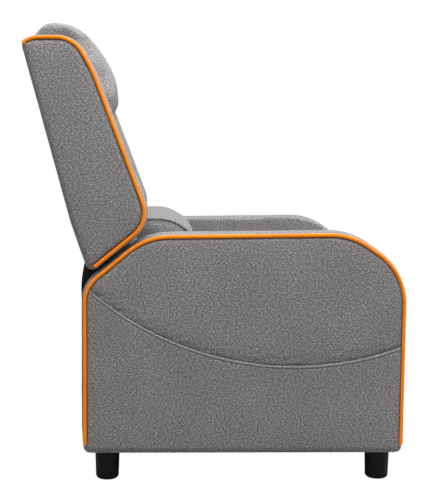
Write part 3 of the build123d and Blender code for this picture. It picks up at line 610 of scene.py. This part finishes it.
def moulded_plastic():
    """Black plastic with a fine moulded grain."""
    shader = Shader("black_plastic")
    place = shader.object_place()
    grain = shader.noise(place, plastic_grain_scale, plastic_grain_texture)
    scuff = shader.noise(shader.stretched(place, plastic_scuff_scales), 1.0, plastic_scuff_texture)
    shader.link(shader.ramp(scuff, plastic_gloss_stops), shader.bsdf.inputs["Roughness"])
    return shader.surface(shader.ramp(scuff, plastic_stops), grain, plastic_relief, plastic_surface)


# Metal and timber
metal_mark_scales = (60, 60, 900)
metal_patch_scale = 60.0
metal_texture = (3.0, 0.6, 0.0)
metal_patch_stops = (0.35, 0.7)
metal_mark_stops = (0.3, 0.7)
metal_relief = (0.12, 0.05 * mm)


def metal(name, tones, roughness, metallic):
    """Steel, bare or coated, with faint rolling marks."""
    shader = Shader(name)
    place = shader.object_place()
    marks = shader.noise(shader.stretched(place, metal_mark_scales), 1.0, metal_texture)
    patch = shader.noise(place, metal_patch_scale, metal_texture)
    gloss = shader.ramp(marks, [(stop, grey(value)) for stop, value in zip(metal_mark_stops, roughness)])
    shader.link(gloss, shader.bsdf.inputs["Roughness"])
    colour = shader.ramp(patch, list(zip(metal_patch_stops, tones)))
    return shader.surface(colour, marks, metal_relief, {"Metallic": metallic})


timber_grain_scales = (14, 160, 160)
timber_texture = (5.0, 0.6, 0.6)
timber_stops = [(0.3, srgb(150, 112, 72)), (0.5, srgb(196, 158, 108)), (0.7, srgb(220, 188, 140))]
timber_relief = (0.25, 0.3 * mm)
timber_surface = {"Roughness": 0.7}


def timber():
    """Pale sawn wood with long grain."""
    shader = Shader("timber")
    place = shader.stretched(shader.object_place(), timber_grain_scales)
    grain = shader.noise(place, 1.0, timber_texture)
    return shader.surface(shader.ramp(grain, timber_stops), grain, timber_relief, timber_surface)


cloth_tones = (srgb(30, 29, 29), srgb(118, 116, 116), srgb(214, 211, 210))
zinc_tones = (srgb(150, 152, 156), srgb(190, 192, 196))
zinc_roughness = (0.28, 0.42)
coat_tones = (srgb(30, 32, 36), srgb(46, 49, 55))
coat_roughness = (0.35, 0.5)
coat_metallic = 0.3


def make_finishes():
    return {
        "grey_fabric": heather_cloth("grey_cloth", cloth_tones),
        "orange_piping": piping_cloth(),
        "black_cloth": lining_cloth(),
        "black_plastic": moulded_plastic(),
        "steel": metal("zinc_steel", zinc_tones, zinc_roughness, 1.0),
        "black_steel": metal("coated_steel", coat_tones, coat_roughness, coat_metallic),
        "timber": timber(),
    }


def finish(obj, material_slot):
    obj.data.materials.clear()
    obj.data.materials.append(finishes[material_slot])
    return obj


def dress_nodes():
    """Every carried-over piece gets the finish that its record names."""
    for part in frame["record"]["subparts"]:
        obj = cad[part["node"]]
        obj.data.materials.clear()
        obj.data.materials.append(finishes[part["material_slot"]])


# Side panels of the arms
def spread(count, share):
    """Steps from 0 to 1, closer together at both ends by a share."""
    out = []
    for k in range(count + 1):
        t = k / count
        out.append(t * (1 - share) + (1 - cos(pi * t)) / 2 * share)
    return out


def seam_height(y):
    """Height of the arc seam at a place along the arm."""
    return seam_centre[1] - sqrt(seam_radius ** 2 - (y - seam_centre[0]) ** 2)


def outline_heights(points, y):
    """Lowest and highest crossing of a side outline at a place along the chair."""
    found = []
    for i, (yb, zb) in enumerate(points):
        ya, za = points[i - 1]
        if (ya - y) * (yb - y) <= 0 and ya != yb:
            found.append(za + (zb - za) * (y - ya) / (yb - ya))
    return min(found), max(found)


def pillow(distance, reach):
    """From 0 at a rim to 1 at a reach inside it, round like a padded edge."""
    share = min(1.0, distance / reach)
    return sqrt(1 - (1 - share) ** 2)


panel_edge_reach = 7 * mm
panel_crown = 4.5 * mm
panel_crown_reach = 130 * mm
hem_lift = 2.9 * mm
hem_reach = 36 * mm
hem_roll = 2.3 * mm
stitch_setback = 6 * mm
stitch_width = 1.5 * mm
stitch_depth = 2 * mm
tuck_depth = 5 * mm
tuck_reach = 13 * mm
pucker_height = 2.2 * mm
pucker_reach = 18 * mm
pucker_sizes = (8 * mm, 5 * mm)
pucker_stretches = (3.2, 2)
pucker_seeds = (3, 9)
pucker_fine_share = 0.5
seam_fade_reach = 14 * mm
panel_least_lift = 0.4 * mm
panel_waves = ((0.9 * mm, 70 * mm, 11), (0.3 * mm, 22 * mm, 5))
panel_overlap = 0.6 * mm
panel_underlap = 4 * mm
panel_columns = 210
panel_rows = 120
panel_column_spread_share = 0.35
panel_row_spread_share = 0.55
panel_end_share = 0.0001


def puckers(y, z):
    """Small folds of the upper panel's cloth along the seam, from coarse and fine noise."""
    coarse, fine = [
        ripple(Vector((0, y / stretch, z)), size, seed)
        for stretch, size, seed in zip(pucker_stretches, pucker_sizes, pucker_seeds)
    ]
    return coarse + pucker_fine_share * fine


def panel_x(y, z, rim, lapped):
    """How far out a side panel's surface lies."""
    distance = rim.find((0, y, z))[2]
    seam = hypot(y - seam_centre[0], z - seam_centre[1]) - seam_radius
    inside = pillow(distance, seam_fade_reach)
    lift = (panel_outer - pad_outer) * pillow(distance, panel_edge_reach)
    lift += panel_crown * pillow(distance, panel_crown_reach)
    if lapped:
        past = max(0, seam)
        lift += hem_lift * exp(-past / hem_reach) * inside * pillow(past, hem_roll)
        lift -= stitch_depth * exp(-((past - stitch_setback) / stitch_width) ** 2) * inside
    else:
        lift -= tuck_depth * exp(min(0, seam) / tuck_reach) * inside
        lift += pucker_height * exp(min(0, seam) / pucker_reach) * puckers(y, z) * inside
    for height, size, seed in panel_waves:
        lift += height * ripple(Vector((0, y, z)), size, seed)
    return pad_outer + max(panel_least_lift, lift)


def panel_mesh(name, side, lapped):
    """One side panel as a grid between its rim and the arc seam; the lower one's hem turns in."""
    corners = inset(arm_corners, panel_inset - panel_overlap)
    radii = [radius - panel_inset + panel_overlap for radius in arm_radii]
    points = rounded(corners, radii)
    rim = rim_finder(points)
    low_y = min(point[0] for point in points)
    high_y = max(point[0] for point in points)
    made = bmesh.new()
    rows = []
    for across in spread(panel_columns, panel_column_spread_share):
        y = low_y + (high_y - low_y) * min(1 - panel_end_share, max(panel_end_share, across))
        bottom, top = outline_heights(points, y)
        middle = min(max(seam_height(y), bottom), top)
        start, end = (bottom, middle) if lapped else (middle - panel_underlap, top)
        row = []
        for up in spread(panel_rows, panel_row_spread_share):
            z = start + (end - start) * up
            row.append(made.verts.new((side * panel_x(y, z, rim, lapped), y, z)))
        if lapped:
            row.append(made.verts.new((side * pad_outer, y, end)))
        rows.append(row)
    for left, right in zip(rows, rows[1:]):
        for k in range(len(left) - 1):
            corners_round = (left[k], right[k], right[k + 1], left[k + 1])
            made.faces.new(corners_round if side < 0 else tuple(reversed(corners_round)))
    mesh = bpy.data.meshes.new(name)
    made.to_mesh(mesh)
    made.free()
    return smooth_shade(new_object(name, mesh))


def make_arm_panels():
    for label, side in sides.items():
        for level, lapped in (("upper", False), ("lower", True)):
            node = f"side_panel_{level}_{label}"
            panel = finish(panel_mesh(f"{node}_cloth", side, lapped), "grey_fabric")
            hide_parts(node)
            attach(panel, "base")


# Paddings of the arms and wings; a wave is its height, size and seed
pad_voxel = 5 * mm
pad_step = 6 * mm
arm_crown = 4.5 * mm
arm_crown_rise = 60 * mm
arm_wave = (0.7 * mm, 55 * mm, 2)
arm_smoothing = 6
wing_crown = 3.5 * mm
wing_wave = (0.6 * mm, 50 * mm, 7)
wing_smoothing = 5


def thick_pad(name, points, side, inner_x, smoothing, crown_height, wave, fade=None):
    """A crowned and gently waved slab of padding; fade gives the share of both at a place."""
    inner, outer = sorted((side * inner_x, side * pad_outer))
    pad = remesh(slab(name, dense(points, pad_step), inner, outer), pad_voxel, smoothing)
    middle = side * (inner_x + pad_outer) / 2
    half = (pad_outer - inner_x) / 2
    wave_height, wave_size, wave_seed = wave

    def crown(place, normal):
        across = 1 - min(1, abs(place.x - middle) / half) ** 2
        share = fade(place) if fade else 1
        out = Vector((0, normal.y, normal.z)) * (crown_height * across * share)
        return out + normal * (wave_height * ripple(place, wave_size, wave_seed) * share)

    move_points(pad, crown)
    return smooth_shade(finish(pad, "grey_fabric"))


def arm_fade(place):
    """From 0 at the arm's foot to 1 a rise above it."""
    return max(0, min(1, (place.z - base_bottom) / arm_crown_rise))


def make_arm_pads():
    points = rounded(arm_corners, arm_radii)
    for label, side in sides.items():
        name = f"arm_{label}_padding"
        pad = thick_pad(name, points, side, arm_inner, arm_smoothing, arm_crown, arm_wave, arm_fade)
        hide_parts(f"arm_pad_{label}")
        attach(pad, "base")


# Back wings
wing_face_inset = 8.2 * mm
wing_face_radius = 5 * mm
wing_rear_shifts = (3 * mm, 6 * mm, 6 * mm)
wing_face_step = 5 * mm
wing_face_voxel = 3.5 * mm
wing_face_smoothing = 2
wing_face_sunk = 3 * mm
wing_face_floor = 0.5 * mm
wing_edge_reach = 10 * mm
wing_face_crown = 4 * mm
wing_face_crown_reach = 70 * mm
wing_face_wave = (0.7 * mm, 60 * mm, 4)


def make_wings():
    points = rounded(wing_corners, wing_radii)
    face_corners = inset(wing_corners, wing_face_inset)
    for i, shift in enumerate(wing_rear_shifts):
        y, z = face_corners[i]
        face_corners[i] = (y + shift, z)
    face_radii = [max(radius - wing_face_inset, wing_face_radius) for radius in wing_radii]
    face_points = rounded(face_corners, face_radii)
    rim = rim_finder(face_points)
    for label, side in sides.items():
        name = f"wing_{label}_padding"
        pad = thick_pad(name, points, side, wing_inner, wing_smoothing, wing_crown, wing_wave)
        inner, outer = sorted((side * (pad_outer - wing_face_sunk), side * panel_outer))
        face = slab(f"wing_{label}_face", dense(face_points, wing_face_step), inner, outer)
        remesh(face, wing_face_voxel, wing_face_smoothing)

        def puff(place, normal):
            if place.x * side < pad_outer + wing_face_floor:
                return Vector((0, 0, 0))
            distance = rim.find((0, place.y, place.z))[2]
            lift = (panel_outer - pad_outer) * (pillow(distance, wing_edge_reach) - 1)
            lift += wing_face_crown * pillow(distance, wing_face_crown_reach)
            lift += wing_face_wave[0] * ripple(place, *wing_face_wave[1:])
            return Vector((side * lift, 0, 0))

        move_points(face, puff)
        smooth_shade(finish(face, "grey_fabric"))
        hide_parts(f"back_wing_{label}")
        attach(face, "back")
        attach(pad, "back")


# Piping of the wings
piping_radius = 3.8 * mm
piping_setback = 0.5 * mm
piping_lift = 0.1 * mm
piping_inset = piping_radius + piping_setback
piping_x = pad_outer + piping_radius + piping_lift
piping_start_reach = 13 * mm
piping_round_steps = 4
piping_step = 2 * mm


def tube(name, points, radius):
    """A round welt along a line of points."""
    curve = bpy.data.curves.new(name, "CURVE")
    curve.dimensions = "3D"
    curve.bevel_depth = radius
    curve.bevel_resolution = piping_round_steps
    curve.use_fill_caps = True
    spline = curve.splines.new("POLY")
    spline.points.add(len(points) - 1)
    for place, point in zip(spline.points, points):
        place.co = (*point, 1)
    drawn = new_object(name, curve)
    graph = bpy.context.evaluated_depsgraph_get()
    mesh = bpy.data.meshes.new_from_object(drawn.evaluated_get(graph))
    bpy.data.objects.remove(drawn)
    return new_object(name, mesh)


def make_wing_piping():
    """Orange welt from the wing's foot round its nose and brow to the rear top corner."""
    corners = inset(wing_corners, piping_inset)
    arcs = corner_arcs(corners, [radius - piping_inset for radius in wing_radii], piping_step)
    foot, nose = Vector(corners[0]), Vector(corners[-1])
    start = foot + (nose - foot).normalized() * piping_start_reach
    line = [tuple(start)]
    for arc in arcs[:1:-1]:
        line += list(reversed(arc))
    for label, side in sides.items():
        welt = tube(f"wing_{label}_piping", [(side * piping_x, y, z) for y, z in line], piping_radius)
        smooth_shade(finish(welt, "orange_piping"))
        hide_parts(f"back_piping_{label}")
        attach(welt, "back")


# Lumbar roll
roll_section_shares = [(-1, -1, 0.64), (1, -1, 0.43), (1, 1, 0.64), (-0.2, 1, 1.9), (-1, 0.25, 0.96)]
roll_depth = 132 * mm
roll_end_depth_share = 0.97
roll_end_height_share = 0.87
roll_fullness = 2.2
roll_rim_radius = 6 * mm
roll_welt_depth = 2.2 * mm
roll_end_dome = 9 * mm
roll_stations = 44
roll_cap_rings = 12
roll_rim_steps = 6
roll_welt_tuck = 1.2 * mm
roll_cap_tuck = 2.6 * mm
roll_cap_setback = 1 * mm
roll_step = 4 * mm
roll_merge_gap = 0.1 * mm
roll_crease_height = 1.2 * mm
roll_crease_size = 30 * mm
roll_crease_stretch = 2.2
roll_crease_seed = 4
roll_crease_end_share = 0.3


def roll_rings(half_length):
    """Rings from the middle of the roll to the middle of its end: place across, size and shrink."""
    rings = []
    for k in range(roll_stations + 1):
        along = k / roll_stations
        rings.append((half_length * along, along, 0.0))
    for k in range(1, roll_rim_steps + 1):
        turn = pi / 2 * k / roll_rim_steps
        rings.append((half_length + roll_rim_radius * sin(turn), 1.0, roll_rim_radius * (1 - cos(turn))))
    end = half_length + roll_rim_radius
    rings.append((end - roll_welt_depth, 1.0, roll_rim_radius + roll_welt_tuck))
    for k in range(roll_cap_rings):
        share = k / roll_cap_rings
        out = roll_end_dome * (1 - (1 - share) ** 2)
        rings.append((end - roll_cap_setback + out, 1 - share, roll_rim_radius + roll_cap_tuck))
    return rings


def make_roll():
    node = "lumbar_roll"
    low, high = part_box(node)
    half_depth, half_height = roll_depth / 2, (high.z - low.z) / 2
    centre = Vector((high.y - half_depth, (low.z + high.z) / 2))
    corners = [
        (centre.x + half_depth * y, centre.y + half_height * z) for y, z, bend in roll_section_shares
    ]
    bends = [min(half_depth, half_height) * bend for y, z, bend in roll_section_shares]
    section = dense(rounded(corners, bends), roll_step)
    half_length = high.x - roll_rim_radius - roll_end_dome
    made = bmesh.new()
    for side in sides.values():
        last = None
        for x, along, shrink in roll_rings(half_length):
            full = 1 - min(1, along) ** roll_fullness if x <= half_length else 0
            depth_share = roll_end_depth_share + (1 - roll_end_depth_share) * full
            height_share = roll_end_height_share + (1 - roll_end_height_share) * full
            middle = Vector((high.y - half_depth * depth_share, low.z + half_height * height_share))
            in_cap = shrink > roll_rim_radius + roll_welt_tuck
            ring = []
            for y, z in section:
                sized = Vector(((y - high.y) * depth_share + high.y, (z - low.z) * height_share + low.z))
                place = sized - middle
                if x > half_length:
                    place *= (1 - shrink / half_height) * (along if in_cap else 1)
                place += middle
                ring.append(made.verts.new((side * x, place.x, place.y)))
            if last is not None:
                for i in range(len(ring)):
                    made.faces.new((last[i - 1], last[i], ring[i], ring[i - 1]))
            last = ring
        made.faces.new(last)
    bmesh.ops.remove_doubles(made, verts=made.verts, dist=roll_merge_gap)
    bmesh.ops.recalc_face_normals(made, faces=made.faces)
    mesh = bpy.data.meshes.new("lumbar_padding")
    made.to_mesh(mesh)
    made.free()
    roll = new_object("lumbar_padding", mesh)

    def creases(place, normal):
        share = roll_crease_end_share + max(0, 1 - abs(place.x) / half_length)
        stretched = Vector((place.x / roll_crease_stretch, place.y, place.z))
        fold = ripple(stretched, roll_crease_size, roll_crease_seed)
        return normal * (roll_crease_height * fold * share)

    move_points(roll, creases)
    smooth_shade(finish(roll, "grey_fabric"))
    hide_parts(node)
    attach(roll, "back")


# Cushions: name, body, voxel, furthest swelling, shrinking before it and rounds of smoothing
cushions = {
    "head_section": ("head_padding", "back", 5 * mm, 12 * mm, 1.5 * mm, 9),
    "back_cushion": ("back_padding", "back", 6 * mm, 10 * mm, 4 * mm, 2),
    "seat_cushion": ("seat_padding", "base", 6 * mm, 12 * mm, 4 * mm, 3),
    "footrest_pad": ("footrest_padding", "footrest", 6 * mm, 8 * mm, 3 * mm, 4),
}
cushion_smoothing = 3
cover_thickness = 1.2 * mm
cover_turn_in = 16 * mm
core_half_width = 240 * mm
frame_front_depth = 52.2 * mm
frame_rear_depth = 12.2 * mm
frame_foot_height = 8 * mm
core_cover_drop = 60 * mm
core_cover_top = back_height - core_cover_drop
rear_edge_gap = 1.5 * mm


def board_cover():
    """Cloth pulled round the footrest board behind its padding."""
    low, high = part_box("footrest_board")
    outline = [
        (low.y, low.z - cover_thickness), (high.y + cover_thickness, low.z - cover_thickness),
        (high.y + cover_thickness, high.z + cover_thickness), (low.y, high.z + cover_thickness),
    ]
    return slab("board_cover", outline, low.x - cover_thickness, high.x + cover_thickness)


def rail_cover():
    """Cloth pulled from under the seat cushion over the seat frame's front rail."""
    low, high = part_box("seat_frame")
    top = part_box("seat_cushion")[0].z + cover_turn_in / 2
    outline = [
        (low.y - cover_thickness, top), (low.y - cover_thickness, low.z - cover_thickness),
        (low.y + cover_turn_in, low.z - cover_thickness), (low.y + cover_turn_in, low.z),
        (low.y, low.z), (low.y, top),
    ]
    return slab("rail_cover", outline, low.x, high.x)


def core_cover():
    """Cloth over the front and the foot of the back's frame, behind its padding."""
    front = frame_front_depth + cover_thickness
    low = frame_foot_height - cover_thickness
    strip = [
        (low, frame_front_depth), (core_cover_top, frame_front_depth),
        (core_cover_top, front), (low, front),
    ]
    foot = [
        (low, frame_rear_depth), (frame_foot_height, frame_rear_depth),
        (frame_foot_height, frame_front_depth), (low, frame_front_depth),
    ]
    half_width = wing_inner - rear_edge_gap
    cover = slab("core_cover", [back_point(s, d) for s, d in strip], -half_width, half_width)
    foot_points = [back_point(s, d) for s, d in foot]
    join(cover, slab("core_foot_cover", foot_points, -core_half_width, core_half_width))
    return cover


cushion_covers = {"footrest_pad": board_cover, "seat_cushion": rail_cover, "back_cushion": core_cover}


def make_cushions():
    made = []
    for node, (name, body, voxel, cap, shrink, rounds) in cushions.items():
        piece = copy_node(node, name)
        remesh(piece, voxel, cushion_smoothing)
        move_points(piece, lambda place, normal: normal * -shrink)
        made.append((piece, cap, node, body, rounds))
    swell_together([row[:2] for row in made])
    for piece, cap, node, body, rounds in made:
        soften(piece, rounds)
        subdivide(piece)
        smooth_shade(finish(piece, "grey_fabric"))
        if node in cushion_covers:
            join(piece, cushion_covers[node]())
        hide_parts(node)
        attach(piece, body)


# Covers of the rear panels
rear_voxel = 4 * mm
rear_crown = 3 * mm
rear_crown_reach = 90 * mm
rear_ripple = 0.8 * mm
rear_ripple_size = 60 * mm
rear_ripple_seed = 13
rear_smoothing = 2
rear_covers = (
    ("back_shell", "back", wing_inner - rear_edge_gap),
    ("rear_panel", "base", arm_inner - rear_edge_gap / 2),
)


def make_rear_covers():
    """Thinly padded cloth over the back's shell and the base's rear panel."""
    for node, body, half_width in rear_covers:
        low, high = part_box(node)
        widening = half_width / high.x - 1
        cover = remesh(copy_node(node, f"{node}_cloth"), rear_voxel, rear_smoothing)

        def swell(place, normal):
            edge = max(0, min(high.x - abs(place.x), place.z - low.z, high.z - place.z))
            lift = rear_crown * pillow(edge, rear_crown_reach) * max(0, normal.y)
            lift += rear_ripple * ripple(place, rear_ripple_size, rear_ripple_seed)
            return Vector((place.x * widening, lift, 0))

        move_points(cover, swell)
        smooth_shade(finish(cover, "grey_fabric"))
        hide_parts(node)
        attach(cover, body)


# Cloth behind the gap under the back
cloth_half_width = 239.5 * mm
cloth_corner_radius = 12 * mm
cloth_return = 42 * mm
cloth_bulge = 13 * mm
cloth_bulge_height_share = 0.62
cloth_side_slack_share = 0.3
cloth_rows = 40
cloth_columns = 80
cloth_thickness = 1.2 * mm
cloth_foot_setback = 4 * mm
cloth_head_setback = 1 * mm
cloth_slack_power = 4
cloth_fold_height = 1.6 * mm
cloth_fold_size = 30 * mm
cloth_fold_stretch = 4
cloth_fold_seed = 8


def cloth_bow(up):
    """Share of the full bulge at a share of the cloth's height."""
    if up < cloth_bulge_height_share:
        return sin(pi / 2 * up / cloth_bulge_height_share)
    return cos(pi / 2 * (up - cloth_bulge_height_share) / (1 - cloth_bulge_height_share))


def make_gap_cloth():
    """Black lining from the rear panel up to the back, turned forward along both sides."""
    node = "rear_gap_cloth"
    low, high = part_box(node)
    foot_y = base_rear - cloth_foot_setback
    head_y = back_point(high.z - back_origin_z, 0)[0] - cloth_head_setback
    flat = cloth_half_width - cloth_corner_radius
    made = bmesh.new()
    rows = []
    for j in range(cloth_rows + 1):
        up = j / cloth_rows
        z = low.z + (high.z - low.z) * up
        row = []
        for i in range(cloth_columns + 1):
            across = 2 * i / cloth_columns - 1
            side = 1 if across > 0 else -1
            run = abs(across) * (flat + pi / 2 * cloth_corner_radius + cloth_return)
            past = run - flat
            slack = 1 - (1 - cloth_side_slack_share) * min(1, abs(across)) ** cloth_slack_power
            y = foot_y + (head_y - foot_y) * up + cloth_bulge * slack * cloth_bow(up)
            stretched = Vector((run * side, 0, z / cloth_fold_stretch))
            fold = ripple(stretched, cloth_fold_size, cloth_fold_seed)
            y += cloth_fold_height * sin(pi * up) * fold
            if past <= 0:
                place = (side * run, y, z)
            elif past < pi / 2 * cloth_corner_radius:
                turn = past / cloth_corner_radius
                x = flat + cloth_corner_radius * sin(turn)
                place = (side * x, y - cloth_corner_radius * (1 - cos(turn)), z)
            else:
                forward = past - pi / 2 * cloth_corner_radius
                place = (side * cloth_half_width, y - cloth_corner_radius - forward, z)
            row.append(made.verts.new(place))
        rows.append(row)
    for lower, upper in zip(rows, rows[1:]):
        for i in range(cloth_columns):
            made.faces.new((lower[i], upper[i], upper[i + 1], lower[i + 1]))
    mesh = bpy.data.meshes.new("rear_cloth")
    made.to_mesh(mesh)
    made.free()
    cloth = new_object("rear_cloth", mesh)
    thicken = cloth.modifiers.new("thickness", "SOLIDIFY")
    thicken.thickness = cloth_thickness
    thicken.offset = 0
    apply_modifiers(cloth)
    smooth_shade(finish(cloth, "black_cloth"))
    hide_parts(node)
    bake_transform(cloth)


# Studio: each light's place, target, width and power
softboxes = {
    "side_softbox": ((-1.6, -0.4, 2.6), (0, 0, 0.7), 1.4, 40),
    "front_softbox": ((-0.2, -2.5, 1.7), (0, 0, 0.6), 1.6, 52),
    "top_softbox": ((-0.2, 0.1, 2.8), (0, 0, 0.5), 2.0, 72),
    "rear_softbox": ((-1.2, 2.4, 1.6), (0, 0.2, 0.6), 1.5, 14),
}
room_light = 0.2
floor_width = 24
floor_tone = 0.4
floor_roughness = 0.9
floor_glow = 1.17
floor_glow_share = 0.84


def add_softbox(name, place, target, width, power):
    data = bpy.data.lights.new(name, "AREA")
    data.shape = "RECTANGLE"
    data.size = width
    data.size_y = width
    data.energy = power
    light = bpy.data.objects.new(name, data)
    light.location = place
    light.rotation_euler = (Vector(target) - Vector(place)).to_track_quat("-Z", "Y").to_euler()
    scene.collection.objects.link(light)


def make_studio():
    scene.view_settings.view_transform = "Standard"
    world = bpy.data.worlds.new("studio")
    scene.world = world
    world.use_nodes = True
    tree = world.node_tree
    tree.nodes.clear()
    paths = tree.nodes.new("ShaderNodeLightPath")
    seen = tree.nodes.new("ShaderNodeMath")
    seen.operation = "MAXIMUM"
    tree.links.new(paths.outputs["Is Camera Ray"], seen.inputs[0])
    tree.links.new(paths.outputs["Is Transmission Ray"], seen.inputs[1])
    dim = tree.nodes.new("ShaderNodeBackground")
    dim.inputs["Color"].default_value = grey(1)
    dim.inputs["Strength"].default_value = room_light
    white = tree.nodes.new("ShaderNodeBackground")
    white.inputs["Color"].default_value = grey(1)
    mix = tree.nodes.new("ShaderNodeMixShader")
    tree.links.new(seen.outputs[0], mix.inputs[0])
    tree.links.new(dim.outputs[0], mix.inputs[1])
    tree.links.new(white.outputs[0], mix.inputs[2])
    output = tree.nodes.new("ShaderNodeOutputWorld")
    tree.links.new(mix.outputs[0], output.inputs[0])

    for name, values in softboxes.items():
        add_softbox(name, *values)


def make_floor():
    bpy.ops.mesh.primitive_plane_add(size=floor_width, location=(0, 0, 0))
    floor = bpy.context.object
    floor.name = "floor"
    material = bpy.data.materials.new("floor")
    material.use_nodes = True
    tree = material.node_tree
    bsdf = tree.nodes["Principled BSDF"]
    bsdf.inputs["Base Color"].default_value = grey(floor_tone)
    bsdf.inputs["Roughness"].default_value = floor_roughness
    glow = tree.nodes.new("ShaderNodeEmission")
    glow.inputs["Strength"].default_value = floor_glow
    paths = tree.nodes.new("ShaderNodeLightPath")
    share = tree.nodes.new("ShaderNodeMath")
    share.operation = "MULTIPLY"
    share.inputs[1].default_value = floor_glow_share
    tree.links.new(paths.outputs["Is Camera Ray"], share.inputs[0])
    mix = tree.nodes.new("ShaderNodeMixShader")
    tree.links.new(share.outputs[0], mix.inputs[0])
    tree.links.new(bsdf.outputs[0], mix.inputs[1])
    tree.links.new(glow.outputs[0], mix.inputs[2])
    tree.links.new(mix.outputs[0], tree.nodes["Material Output"].inputs["Surface"])
    floor.data.materials.append(material)


add_camera()
finishes = make_finishes()
dress_nodes()
make_cushions()
make_arm_pads()
make_arm_panels()
make_wings()
make_wing_piping()
make_roll()
make_rear_covers()
make_gap_cloth()
make_studio()
make_floor()
